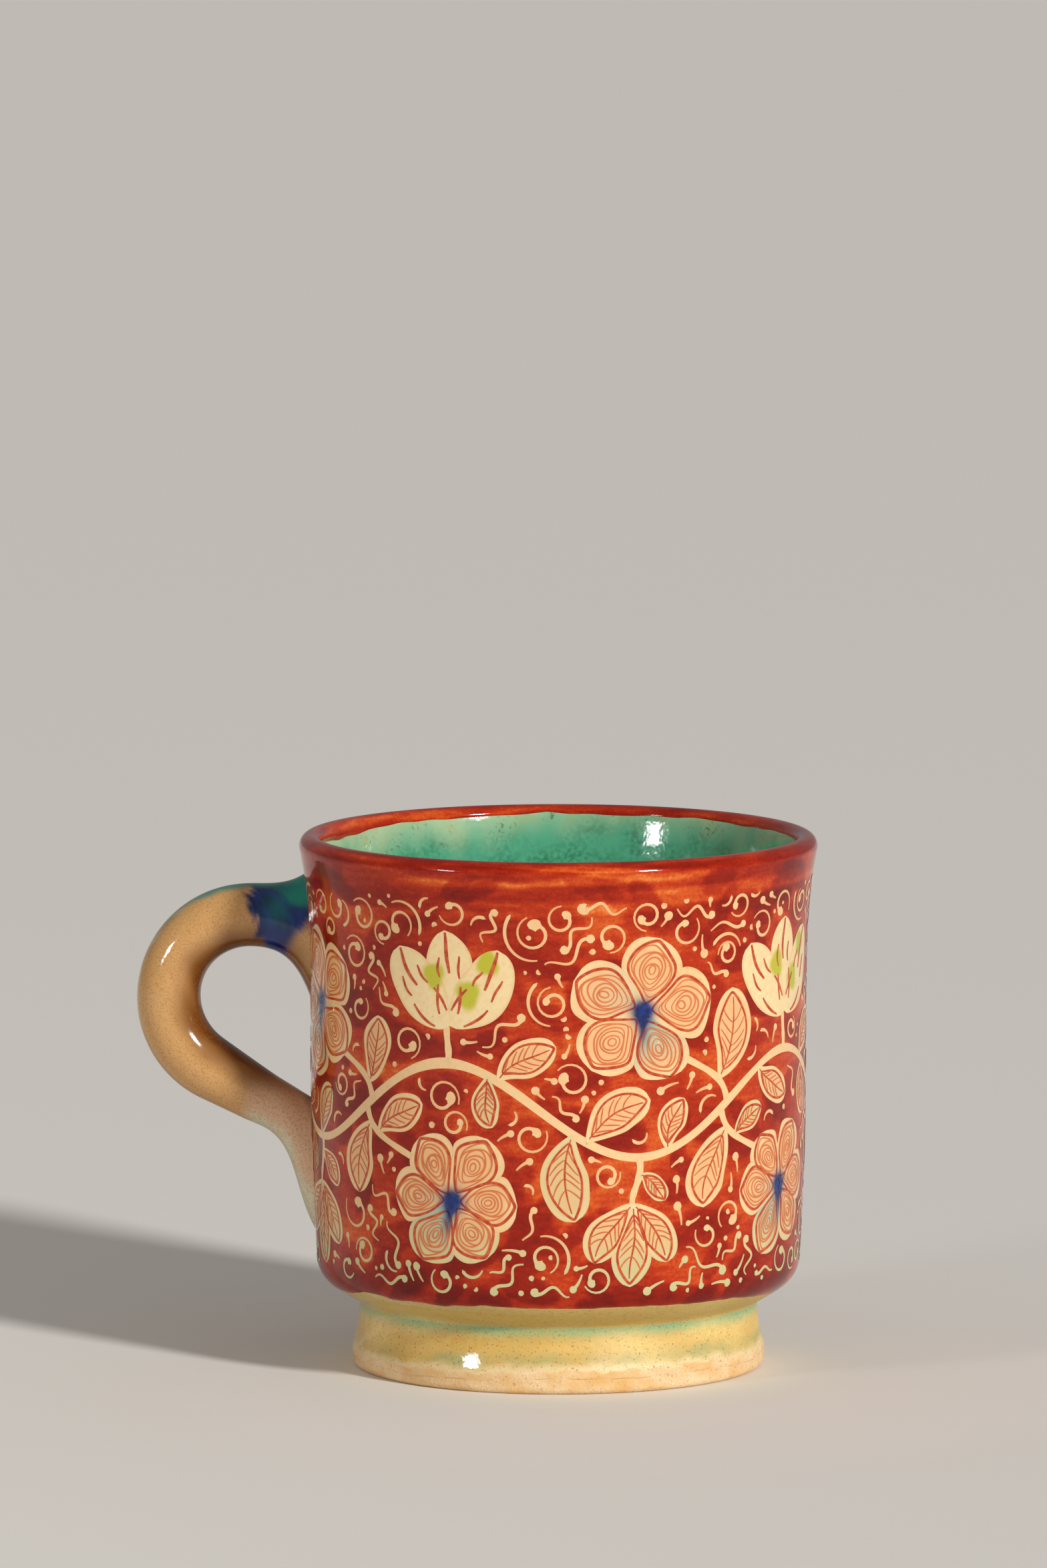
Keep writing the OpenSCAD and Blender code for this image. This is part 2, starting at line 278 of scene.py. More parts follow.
HEIGHT = 93.0
LIP_R = 45.0
SHOULDER_R = 42.0
SHOULDER_H = 8.0
SHOULDER_Z = FOOT_H + SHOULDER_H
WAIST_Z = 60.0
WALL_T = 4.0
FLOOR_T = 5.5
FLOOR_Z = FOOT_H + FLOOR_T
FLOOR_FILLET_R = 9.0
FLARE_POWER = 3.3
TAPER_POWER = 2.5
NECK_BEND = (0.6, 0.33)
SHOULDER_BEND = 0.54
SLIP_EDGE_Z = 15.6
SKIN_STEP = 0.1
SKIN_LOW_Z = 1.5
POOL_STEPS = 9
POOL_W = 1.8
COAT_TURNS = 480
UNDER_ROWS = 14
UNDER_DEPTH = 0.3
EDGE_SUNK = 0.12

lip_tilt = math.atan(FLARE_POWER * (LIP_R - WAIST_R) / (HEIGHT - WAIST_Z))
lip_round = WALL_T * math.cos(lip_tilt) / 2
lip_z = HEIGHT - lip_round


def wall_r(z):
    """Radius of the glazed wall at a height: a power flare above the waist, a power taper below it."""
    flare = (LIP_R - WAIST_R) * np.clip((z - WAIST_Z) / (lip_z - WAIST_Z), 0, None) ** FLARE_POWER
    taper = (WAIST_R - SHOULDER_R) * np.clip((WAIST_Z - z) / (WAIST_Z - SHOULDER_Z), 0, None) ** TAPER_POWER
    return WAIST_R + flare - taper


def bezier(a, b, c, d, t):
    """A cubic curve from a to d that leaves towards b and arrives from c."""
    a, b, c, d, t = (np.asarray(v, float) for v in (a, b, c, d, t[:, None]))
    return (1 - t) ** 3 * a + 3 * (1 - t) ** 2 * t * b + 3 * (1 - t) * t * t * c + t ** 3 * d


side_z = np.linspace(SKIN_LOW_Z, FOOT_H, 30)
wall_z = np.linspace(SHOULDER_Z, lip_z - lip_round * math.sin(lip_tilt), 200)[1:]
lip_turn = np.linspace(-lip_tilt, math.pi - lip_tilt, 40)[1:]
inside_z = np.linspace(lip_z + lip_round * math.sin(lip_tilt), FLOOR_Z + FLOOR_FILLET_R, 200)[1:]
corner_turn = np.linspace(0, math.pi / 2, 30)[1:]
inside_r = wall_r(FLOOR_Z + FLOOR_FILLET_R) - WALL_T
neck_share = np.linspace(0, 1, 60)[1:]
neck_pull = [NECK_R + NECK_BEND[0] * (SHOULDER_R - NECK_R), FOOT_H + NECK_BEND[1] * SHOULDER_H]
shoulder_pull = [SHOULDER_R, SHOULDER_Z - SHOULDER_BEND * SHOULDER_H]
skin = resampled(np.concatenate([
    np.stack([foot_side(side_z), side_z], -1),
    bezier([NECK_R, FOOT_H], neck_pull, shoulder_pull, [SHOULDER_R, SHOULDER_Z], neck_share),
    np.stack([wall_r(wall_z), wall_z], -1),
    np.stack([LIP_R - WALL_T / 2 + lip_round * np.cos(lip_turn), lip_z + lip_round * np.sin(lip_turn)], -1),
    np.stack([wall_r(np.minimum(inside_z, lip_z)) - WALL_T, inside_z], -1),
    np.stack([inside_r - FLOOR_FILLET_R * (1 - np.cos(corner_turn)),
              FLOOR_Z + FLOOR_FILLET_R * (1 - np.sin(corner_turn))], -1),
    [[0.0, FLOOR_Z]],
]), SKIN_STEP)
skin_reach = SKIN_STEP * np.arange(len(skin))
# Glaze pools in the groove at the neck and rounds it, so the outline is averaged there.
neck_reach = skin_reach[np.argmin(np.hypot(skin[:, 0] - NECK_R, skin[:, 1] - FOOT_H))]
pool_window = np.ones(2 * POOL_STEPS + 1) / (2 * POOL_STEPS + 1)
pool_ends = np.pad(skin, ((POOL_STEPS, POOL_STEPS), (0, 0)), "edge")
pooled = np.stack([np.convolve(pool_ends[:, k], pool_window, "valid") for k in (0, 1)], -1)
near_neck = np.exp(-((skin_reach - neck_reach) / POOL_W) ** 2)[:, None]
skin = skin + near_neck * (pooled - skin)
skin_along = np.gradient(skin, axis=0)
skin_normal = np.stack([skin_along[:, 1], -skin_along[:, 0]], -1)
skin_normal = skin_normal / np.linalg.norm(skin_along, axis=1)[:, None]
lip_reach = skin_reach[np.argmax(skin[:, 1])]
outside = skin_reach <= skin_reach[np.argmax(skin[:, 0])]


def skin_at(reach, lift):
    """Radius and height at a distance along the mug's outline, moved out along the outline's own normal."""
    r, z, out_r, out_z = (np.interp(reach, skin_reach, v) for v in (*skin.T, *skin_normal.T))
    return r + lift * out_r, z + lift * out_z


def reach_of(z):
    """Distance along the outline to a height on the outside."""
    return np.interp(z, skin[outside, 1], skin_reach[outside])


def coat(start, end, rows, lift, edges=(0.5, 0.5), under_rows=UNDER_ROWS):
    """A closed coat round the mug between two edges, given as distances along the outline at each angle. It
    has rows on the outside, thinned over the two edges' widths, and fewer rows back underneath."""
    angle = np.linspace(-math.pi, math.pi, len(start), endpoint=False)[:, None]
    share = np.linspace(0, 1, rows)
    top = start[:, None] + share * (end - start)[:, None]
    inset = np.minimum((top - start[:, None]) / edges[0], (end[:, None] - top) / edges[1])
    thin = np.sqrt(np.clip(inset, 0, 1))
    under = start[:, None] + np.linspace(1, 0, under_rows) * (end - start)[:, None]
    reach = np.concatenate([top, under], 1)
    height = np.concatenate([lift * thin - EDGE_SUNK * (1 - thin), np.full(under.shape, -UNDER_DEPTH)], 1)
    r, z = skin_at(reach, height)
    return cup_points(angle, r, z), angle + 0 * z, reach, z


HONEY = "#e9c578"
HONEY_DEEP = "#d0a04c"
HONEY_SPECK = "#7a5226"
POOLED_GREEN = "#6caa80"
GREENISH = "#cfb466"
GREY_GREEN = "#aaa76c"
MILKY = "#efdcae"
PEEL_SIZE = 2.2 * MM
GLOSS = 0.1
DULL = 0.6
GLAZE_ROWS = 90
GLAZE_LOW_Z = 1.6
SPREAD_BELOW = 1.3
UNDER_SLIP = 1.0

glaze_rng = np.random.default_rng(11)
turn = np.linspace(-math.pi, math.pi, COAT_TURNS, endpoint=False)
bare_edge = BARE_Z - 0.6 + 0.35 * np.sin(turn) + 0.35 * ripple(glaze_rng, turn, 0, 22, 9)
bare_edge += 0.2 * ripple(glaze_rng, turn, 0, 6, 9)
glaze_points, glaze_turn, glaze_reach, glaze_z = coat(
    reach_of(np.maximum(bare_edge - SPREAD_BELOW, GLAZE_LOW_Z)),
    np.full(COAT_TURNS, reach_of(SLIP_EDGE_Z + UNDER_SLIP)), GLAZE_ROWS, 0.0, (SPREAD_BELOW, SPREAD_BELOW))
# Where each colour lies, by distances in mm from the neck and from the edge of the bare clay.
below_neck = neck_reach - glaze_reach
groove = np.exp(-((below_neck - 0.3) / np.where(below_neck > 0.3, 1.4, 0.8)) ** 2)
groove *= np.clip(0.68 + 0.1 * np.sin(glaze_turn) + 0.2 * ripple(glaze_rng, glaze_turn, 0, 16, 9), 0.4, 0.95)
above_edge = glaze_reach - reach_of(bare_edge)[:, None]
wavering = above_edge + 0.3 * ripple(glaze_rng, glaze_turn, glaze_z, 3, 1.5)
milky_edge = 0.6 * np.exp(-((wavering - 0.2) / np.where(wavering > 0.2, 1.0, 1.5)) ** 2)
grey_edge_and_shoulder_shade = np.exp(-((wavering - 2.0) / 1.3) ** 2)
grey_edge_and_shoulder_shade *= np.clip(0.5 + 0.5 * ripple(glaze_rng, glaze_turn, 0, 12, 9), 0.1, 0.9)
# Painted shade: grey-green laid under the shoulder, above the neck.
grey_edge_and_shoulder_shade = np.maximum(grey_edge_and_shoulder_shade, 0.4 * smoothstep(0.5, 3, -below_neck))
honey_values = {
    "pool": groove,
    "dull": smoothstep(-0.1, 0.5, glaze_turn) * smoothstep(1.9, 1.3, glaze_turn),
    "grey_and_shoulder_shade": grey_edge_and_shoulder_shade,
    "milk": milky_edge,
    "bare": smoothstep(0.6, -0.6, wavering),
    # The deeper honey above the neck, under the shoulder, is painted shade.
    "run": 0.5 + 0.5 * ripple(glaze_rng, glaze_turn, glaze_z, 14, 4) - 0.2 * below_neck.clip(-3, 0),
}

# Clear glaze over buff clay is glossy and honey-yellow, and green where copper has pooled. Right of the
# front it has come out dull, and towards the bare clay it breaks up between the sand. Under the shoulder
# it is darkened to grey-green and deeper honey as painted shade.
foot_honey, place, at = new_material("honey lead glaze over earthenware", honey_values)
body, sand = clay_body(foot_honey, place, CLAY, CLAY_SHADE)
mottle = blotches(foot_honey, place, 1.3 * MM, 0.35, 0.7, 0.6, detail=4.0)
specks = blotches(foot_honey, place, 0.34 * MM, 0.58, 0.74, 0.75)
grainy = add_node(foot_honey, "Math", {0: sand, 1: -0.45, 2: 1.1}, operation="MULTIPLY_ADD")
pool = add_node(foot_honey, "Math", {0: at["pool"], 1: grainy}, operation="MULTIPLY")
crumbled = add_node(foot_honey, "Math", {0: sand, 1: 0.3, 2: at["bare"]}, operation="MULTIPLY_ADD")
bare = add_node(foot_honey, "MapRange", {0: crumbled, 1: 0.3, 2: 0.9}, interpolation_type="SMOOTHSTEP")
colour = laid(foot_honey, HONEY, (at["run"], HONEY_DEEP), (mottle, GREENISH), (at["grey_and_shoulder_shade"], GREY_GREEN),
              (pool, POOLED_GREEN), (at["milk"], MILKY), (specks, HONEY_SPECK), (bare, body))
peel = blotches(foot_honey, place, PEEL_SIZE, 0.2, 0.8)
relief = add_node(foot_honey, "Mix", {0: bare, 2: peel, 3: sand})
worn = add_node(foot_honey, "MapRange", {0: at["dull"], 3: GLOSS, 4: DULL})
roughness = add_node(foot_honey, "Mix", {0: bare, 2: worn, 3: MATT})
fire(foot_honey, colour, roughness, relief, 0.03 * MM)
add_piece("foot_honey_glaze", glaze_points, foot_honey, ["foot_glaze"], honey_values)


# Copper-green glaze inside
# The inside is poured with a copper glaze. It has run down while it melted, so it is pale and thin under
# the lip, and a clouded green lower down, with brown specks of oxide.

GREEN_PALE = "#a9c398"
OCHRE = "#b7a767"
GREEN = "#50a37d"
GREEN_DEEP = "#2f7c5b"
OXIDE = "#5d5a34"
INNER_TOP = 0.6
INNER_EDGE = 0.4
INNER_ROWS = 150


def glazed(material, place, colour, depth, ior=CERAMIC_IOR):
    """Ends a material under a glossy glaze, which has a faint orange peel of that depth."""
    peel = blotches(material, place, PEEL_SIZE, 0.2, 0.8)
    return fire(material, colour, GLOSS, peel, depth, ior)


green_rng = np.random.default_rng(23)
inner_start = np.full(COAT_TURNS, lip_reach + INNER_TOP)
inner_end = np.full(COAT_TURNS, skin_reach[-1])
inner_points, inner_turn, inner_reach, inner_z = coat(
    inner_start, inner_end, INNER_ROWS, 0.0, (INNER_EDGE, INNER_EDGE))
# Both faces meet the axis. The underside comes first, so that the grid begins and ends at a pole.
inner_points[:, [INNER_ROWS - 1, INNER_ROWS], :2] = 0.0
inner_points = np.roll(inner_points, UNDER_ROWS, axis=1)
run_line = 4.0 + 1.6 * ripple(green_rng, inner_turn, 0, 22, 9)
run_line = run_line + 1.2 * ripple(green_rng, inner_turn, inner_z, 5, 9)
depth = inner_reach - lip_reach - INNER_TOP
above_floor = smoothstep(FLOOR_Z + 1, FLOOR_Z + FLOOR_FILLET_R, inner_z)
clouds = 0.5 + 0.5 * ripple(green_rng, inner_turn, inner_z, 7, 5) * above_floor
specked = np.exp(-((depth - run_line) / 2.5) ** 2)
specked = specked * np.clip(ripple(green_rng, inner_turn, inner_z, 4, 2) + 0.2, 0, 1)
green_values = {"depth": smoothstep(-4.5, 4.5, depth - run_line), "cloud": clouds, "oxide": specked}
green_values = {name: np.roll(value, UNDER_ROWS, axis=1) for name, value in green_values.items()}

# Copper turns the glaze a clouded, glossy green. Where it is thin, the clay makes it pale and ochre.
inner_green, place, at = new_material("copper-green lead glaze", green_values)
mottle = blotches(inner_green, place, 0.8 * MM, 0.3, 0.7, detail=5.0)
ochre = blotches(inner_green, place, 3.5 * MM, 0.48, 0.75, 0.7, detail=5.0)
specks = blotches(inner_green, place, 0.7 * MM, 0.55, 0.72, detail=3.0)
oxide = add_node(inner_green, "Math", {0: specks, 1: at["oxide"]}, operation="MULTIPLY")
thick = laid(inner_green, GREEN, (at["cloud"], GREEN_DEEP), (mottle, GREEN))
thin = laid(inner_green, GREEN_PALE, (ochre, OCHRE))
glazed(inner_green, place, laid(inner_green, thin, (at["depth"], thick), (oxide, OXIDE)), 0.025 * MM)
inner_faces = grid_faces(*inner_points.shape[:2], True, False).tolist()
add_piece("inner_green_glaze", inner_points, inner_green, ["inner_glaze"], green_values,
          inner_faces)


# Handle
# A pulled roll of clay, bent to a loop. Its upper end is spread onto the wall and its lower end thumbed down
# to a point. Honey glaze covers it, with a cobalt dab at the upper end and copper green along the top.

ROLL_R = 5.5
TAIL_R = 4.5
ARM_Z = 78.3
ARM_LEN = 10.3
LOOP_SWEEP = 150
TAIL_LEN = 9.6
TAIL_Z = 22.0
LOWER_ARM_Z = 41.0
ROOT_RISE = 2.0
ROOT_DROP = 11.0
ROOT_HALF_W = 7.0
ROOT_BEND = (0.5, 0.7)
ROOT_TURN = (0.16, 0.12)
ROOT_FALL = 0.4
ROOT_PAST = (2, 1.3)
TAIL_BEND = (0.95, 0.66)
TAIL_FALL = (0.2, 1.5)
EMBED = 1.6
HANDLE_SIDES = 64
HANDLE_PROUD = 0.05
SMOOTHED = 13

arm_x = wall_r(ARM_Z) + ARM_LEN
slope = math.radians(LOOP_SWEEP - 180)
loop_out = np.array([math.cos(math.radians(90 + LOOP_SWEEP)), math.sin(math.radians(90 + LOOP_SWEEP))])
fall = ARM_Z - LOWER_ARM_Z + math.tan(slope) * (arm_x - wall_r(LOWER_ARM_Z))
loop_r = fall / (1 - loop_out[1] + math.tan(slope) * loop_out[0])
loop_middle = np.array([-arm_x, ARM_Z - loop_r])
loop_end = loop_middle + loop_r * loop_out
down_slope = np.array([math.cos(slope), math.sin(slope)])
across_slope = np.array([-math.sin(slope), math.cos(slope)])
lower_run = (-wall_r(LOWER_ARM_Z) - loop_end[0]) / math.cos(slope) - TAIL_LEN
roll_end = loop_end + lower_run * down_slope

ring_share = np.linspace(0, 1, 40)
top_z, low_z = ARM_Z + ROLL_R, ARM_Z - ROLL_R
root_x = -wall_r(WAIST_Z) + EMBED
above = bezier([-arm_x, top_z], [-arm_x + ROOT_BEND[0] * ARM_LEN, top_z],
               [-wall_r(top_z) - ROOT_TURN[0] * ARM_LEN, top_z],
               [root_x, top_z + ROOT_PAST[0] * ROOT_RISE], ring_share)
below = bezier([-arm_x, low_z], [-arm_x + ROOT_BEND[1] * ARM_LEN, low_z],
               [-wall_r(low_z) - ROOT_TURN[1] * ARM_LEN, low_z - ROOT_FALL * ROOT_DROP],
               [root_x, low_z - ROOT_PAST[1] * ROOT_DROP], ring_share)
tail_top, tail_low = roll_end + TAIL_R * across_slope, roll_end - TAIL_R * across_slope
tail_x = -wall_r(TAIL_Z - EMBED) + EMBED
tail_seat = np.array([tail_x, tail_top[1] + math.tan(slope) * (tail_x - tail_top[0])])
tail_above = tail_top + ring_share[:, None] * (tail_seat - tail_top)
tail_below = bezier(tail_low, tail_low + [TAIL_BEND[0] * TAIL_LEN, -TAIL_FALL[0] * TAIL_LEN],
                    tail_low + [TAIL_BEND[1] * TAIL_LEN, -TAIL_FALL[1] * TAIL_LEN],
                    [tail_x, TAIL_Z - EMBED], ring_share)
loop_turn = np.radians(90 + np.linspace(0, LOOP_SWEEP, 70)[1:])
loop_out = np.stack([np.cos(loop_turn), np.sin(loop_turn)], -1)
arm_share = np.linspace(0, 1, 24)[1:, None]
arm_middle = loop_end + arm_share * lower_run * down_slope
arm_radius = ROLL_R + arm_share * (TAIL_R - ROLL_R)

# The handle's outer and inner lines and half width are smoothed, and swell a little as a pulled roll does.
outer_line = np.concatenate([above[::-1], loop_middle + (loop_r + ROLL_R) * loop_out,
                             arm_middle - arm_radius * across_slope, tail_below[1:]])
inner_line = np.concatenate([below[::-1], loop_middle + (loop_r - ROLL_R) * loop_out,
                             arm_middle + arm_radius * across_slope, tail_above[1:]])
half_width = np.concatenate([ROLL_R + (ROOT_HALF_W - ROLL_R) * ring_share[::-1] ** 2,
                             np.full(len(loop_turn), ROLL_R), arm_radius[:, 0],
                             TAIL_R + (ROOT_HALF_W - TAIL_R) * ring_share[1:] ** 2])
rails = np.concatenate([outer_line, inner_line, half_width[:, None]], 1)
smooth_over = np.hanning(SMOOTHED)[1:-1] / np.hanning(SMOOTHED).sum()
ends = len(smooth_over) // 2
padded = np.concatenate([2 * rails[:1] - rails[ends:0:-1], rails, 2 * rails[-1:] - rails[-2:-2 - ends:-1]])
rails = np.stack([np.convolve(padded[:, k], smooth_over, "valid") for k in range(rails.shape[1])], -1)
rings = len(rails)
ring_at = np.linspace(0, 1, rings)
pulled = 0.10 * np.cos(9 * ring_at + 1.0) + 0.07 * np.cos(23 * ring_at + 0.4)
outer_line, inner_line, half_width = rails[:, :2], rails[:, 2:4], rails[:, 4] + HANDLE_PROUD + pulled
middle, half = (outer_line + inner_line) / 2, (outer_line - inner_line) / 2
half = half * (1 + (HANDLE_PROUD + 0.6 * pulled) / np.linalg.norm(half, axis=1))[:, None]
side_turn = np.linspace(0, 2 * math.pi, HANDLE_SIDES, endpoint=False)
section = middle[:, None] + half[:, None] * np.cos(side_turn)[None, :, None]
handle_points = np.stack([section[..., 0], half_width[:, None] * np.sin(side_turn), section[..., 1]], -1)
handle_faces = grid_faces(rings, HANDLE_SIDES, False, True).tolist()
handle_faces.append(list(range(HANDLE_SIDES)))
handle_faces.append(list(range(rings * HANDLE_SIDES - 1, (rings - 1) * HANDLE_SIDES - 1, -1)))

HANDLE_HONEY = "#c9995f"
HANDLE_INNER_SHADE = "#6b3a12"
HANDLE_SPECK = "#94622f"
MINT = "#cdd8ba"
COBALT = "#1b3274"
COBALT_DEEP = "#0e1a4c"
TEAL = "#0f7f6d"
TAIL_PINK = "#d4aa86"
DAB_X = -54.4
DAB_END_X = -47.2
DAB_END_Z = 72.5

handle_rng = np.random.default_rng(31)
x, y, z = (handle_points[..., k] for k in range(3))
# Where each colour lies, by x and z in mm and by how far the surface faces out of the loop.
facing_out = np.broadcast_to(np.cos(side_turn), x.shape)
wobble = ripple(handle_rng, x / 20, z + 1.3 * y, 9, 5)
flecks = ripple(handle_rng, x / 12 + y / 9, z + 0.7 * y, 2.6, 2.2)
on_arm = smoothstep(62, 66, z)
dab = smoothstep(-0.3, 1.0, x - DAB_X - 0.25 * (top_z - z) + 0.6 * wobble + 0.5 * flecks) * on_arm
dab *= 1 - smoothstep(-1.2, 1.6, x - DAB_END_X - 0.8 * (z - DAB_END_Z) + 0.8 * wobble + 0.4 * flecks)
top_line = smoothstep(0.83, 0.97, facing_out + 0.04 * wobble)
top_line = top_line * smoothstep(-73, -58, x) * smoothstep(-45, -50, x)
by_wall = smoothstep(0.45, 0.9, facing_out + 0.2 * wobble) * smoothstep(-51, -46, x + flecks)
teal_spot = 0.45 * np.exp(-((x + 48.5) / 2.2) ** 2 - ((z - 80) / 2.6) ** 2)
# Painted shade: the surface that faces into the loop is darkened to brown.
inner_shade = smoothstep(-0.15, 0.95, -facing_out + 0.1 * wobble)
inner_shade = inner_shade * (1 - 0.6 * smoothstep(-52, -44, x) * (1 - on_arm))
outer_mint = smoothstep(0.88, 1.0, facing_out + 0.03 * flecks)
outer_mint = outer_mint * smoothstep(-58, -66, x) * smoothstep(46, 58, z)
to_tip = facing_out + 0.15 * wobble + 0.7 * smoothstep(34, 24, z)
tail_mint = smoothstep(0.0, 0.9, to_tip) * smoothstep(47, 42, z)
mint = np.maximum(0.6 * outer_mint, 0.75 * tail_mint * smoothstep(-56, -52, x))
mint *= np.clip(0.75 + 0.35 * wobble + 0.25 * flecks, 0.2, 1.15)
handle_values = {
    "inner_shade": inner_shade,
    "pink": smoothstep(-56, -50, x + 1.2 * wobble) * smoothstep(52, 45, z),
    "mint": mint,
    "green": np.maximum(np.maximum(top_line, by_wall), teal_spot) * on_arm,
    "cobalt": dab,
    "fleck": 0.5 + 0.5 * flecks,
}

# The same honey glaze, glossy over browner clay, and darkened to brown inside the loop as painted shade.
# Cobalt shows in it as near-black blue and copper as teal.
handle_honey, place, at = new_material("honey lead glaze with cobalt and copper dabs", handle_values)
specks = blotches(handle_honey, place, 0.3 * MM, 0.45, 0.7, 0.5, detail=3.0)
blue = laid(handle_honey, COBALT, (at["fleck"], COBALT_DEEP))
colour = laid(handle_honey, HANDLE_HONEY, (at["inner_shade"], HANDLE_INNER_SHADE), (at["pink"], TAIL_PINK),
              (at["mint"], MINT), (specks, HANDLE_SPECK), (at["cobalt"], blue), (at["green"], TEAL))
glazed(handle_honey, place, colour, 0.02 * MM)
add_piece("handle_honey_glaze", handle_points, handle_honey, ["roll_glaze", "root_glaze"],
          handle_values, handle_faces)


# Vine
# One wavy stem runs round the cup and carries the flowers. It is brushed in cream slip, and the red ground
# is laid round it afterwards, so its edges are warmer than its middle.

GIRTH = 2 * math.pi * WAIST_R
PERIODS = 4
PERIOD = GIRTH / PERIODS
VINE_FROM = 17.0
VINE_Z = 50.0
VINE_SWING = 8.0
VINE_STEPS = 480
VINE_HALF = 0.74
STEM_HALF = 0.66
STEM_STEPS = 30
STEM_GAP = 3
BRANCH_SHARE = 0.26
# Bends and end of the stalk at a low turn and at a high turn, from the turn and from the foot.
BUD_STALK = ((1, 38), (-2, 36), (-1, 33))
TULIP_STALK = ((1, 60), (-1, 63), (0.5, 68))
UPPER_FLOWER_Z = 66.5
LOWER_FLOWER_Z = 33.5
HEART_R = 2.0
CREAM_LIFT = 0.10
SINK = 0.2
LAYER = 0.003
LAYERS = 7
MARGIN = 0.75
PAINT_MARGIN = 0.35
COLUMNS = 900
CELL = GIRTH / COLUMNS
FIELD_LOW = 12.0
FIELD_ROWS = 270


def at_height(s, z):
    """Points of the unrolled wall at distances round the cup and at one height."""
    return np.stack([s, np.full(len(s), z)], -1)


layout_rng = np.random.default_rng(5)
low_s = VINE_FROM + PERIOD * np.arange(PERIODS)
high_s = low_s + PERIOD / 2
upper_flowers = at_height(low_s, UPPER_FLOWER_Z) + layout_rng.uniform(-1, 1, (PERIODS, 2))
lower_flowers = at_height(high_s, LOWER_FLOWER_Z) + layout_rng.uniform(-1, 1, (PERIODS, 2))
run_lean = layout_rng.uniform(-0.25, 0.25, 2 * PERIODS)
taken = np.zeros((FIELD_ROWS, COLUMNS), bool)
painted = np.zeros((FIELD_ROWS, COLUMNS), bool)


def vine_z(s):
    """Height of the vine: a wave with one low point under each upper flower."""
    return VINE_Z - VINE_SWING * np.cos(2 * math.pi * (s - VINE_FROM) / PERIOD)


def on_wall(s, z, lift):
    """Points of the wall, s mm to the right of the front and z mm up, lifted along the wall's normal."""
    r, height = skin_at(reach_of(z), lift)
    return cup_points(s / WAIST_R, r, height)


def wrapped(s):
    """A distance round the cup, brought between minus half and half of the girth."""
    return (s + GIRTH / 2) % GIRTH - GIRTH / 2


def lefts(paths):
    """Unit vectors to the left of paths in the unrolled wall, one at each point."""
    along = np.gradient(paths, axis=-2)
    along /= np.linalg.norm(along, axis=-1, keepdims=True)
    return np.stack([-along[..., 1], along[..., 0]], -1)


def across_paths(paths, halves, across):
    """Points at shares of the half width to the left (1) and right (-1) of paths."""
    return paths[..., None, :] + (halves[..., None] * across)[..., None] * lefts(paths)[..., None, :]


def mark(field, points, radius):
    """Marks the cells of the unrolled wall within a radius of points."""
    cells = int(radius / CELL) + 1
    near = np.mgrid[-cells:cells + 1, -cells:cells + 1].reshape(2, -1).T
    near = near[np.hypot(near[:, 0], near[:, 1]) * CELL <= radius]
    points = points.reshape(-1, 2)
    column = np.rint(points[:, 0] / CELL).astype(int)[:, None] + near[:, 0]
    row = np.rint((points[:, 1] - FIELD_LOW) / CELL).astype(int)[:, None] + near[:, 1]
    field[np.clip(row, 0, FIELD_ROWS - 1), column % COLUMNS] = True


def is_free(points):
    """True if no point lies in a taken cell."""
    column = np.rint(points[..., 0] / CELL).astype(int) % COLUMNS
    row = np.rint((points[..., 1] - FIELD_LOW) / CELL).astype(int)
    return not taken[np.clip(row, 0, FIELD_ROWS - 1), column].any()


def stain(s, z):
    """Cobalt of the flowers' hearts, bled into the glaze: at each a soft drop and a thinner run below."""
    total = 0
    for (heart_s, heart_z), lean in zip(np.concatenate([upper_flowers, lower_flowers]), run_lean):
        aside, up = wrapped(s - heart_s), z - heart_z
        drop = 1.7 * np.exp(-(aside ** 2 + up ** 2) / HEART_R ** 2)
        from_run = ((aside + lean * up) / (0.5 * HEART_R)) ** 2
        run = 0.8 * np.exp(-from_run - ((up + 1.7 * HEART_R) / (1.3 * HEART_R)) ** 2)
        total = total + drop + run
    return np.clip(total, 0, 1)


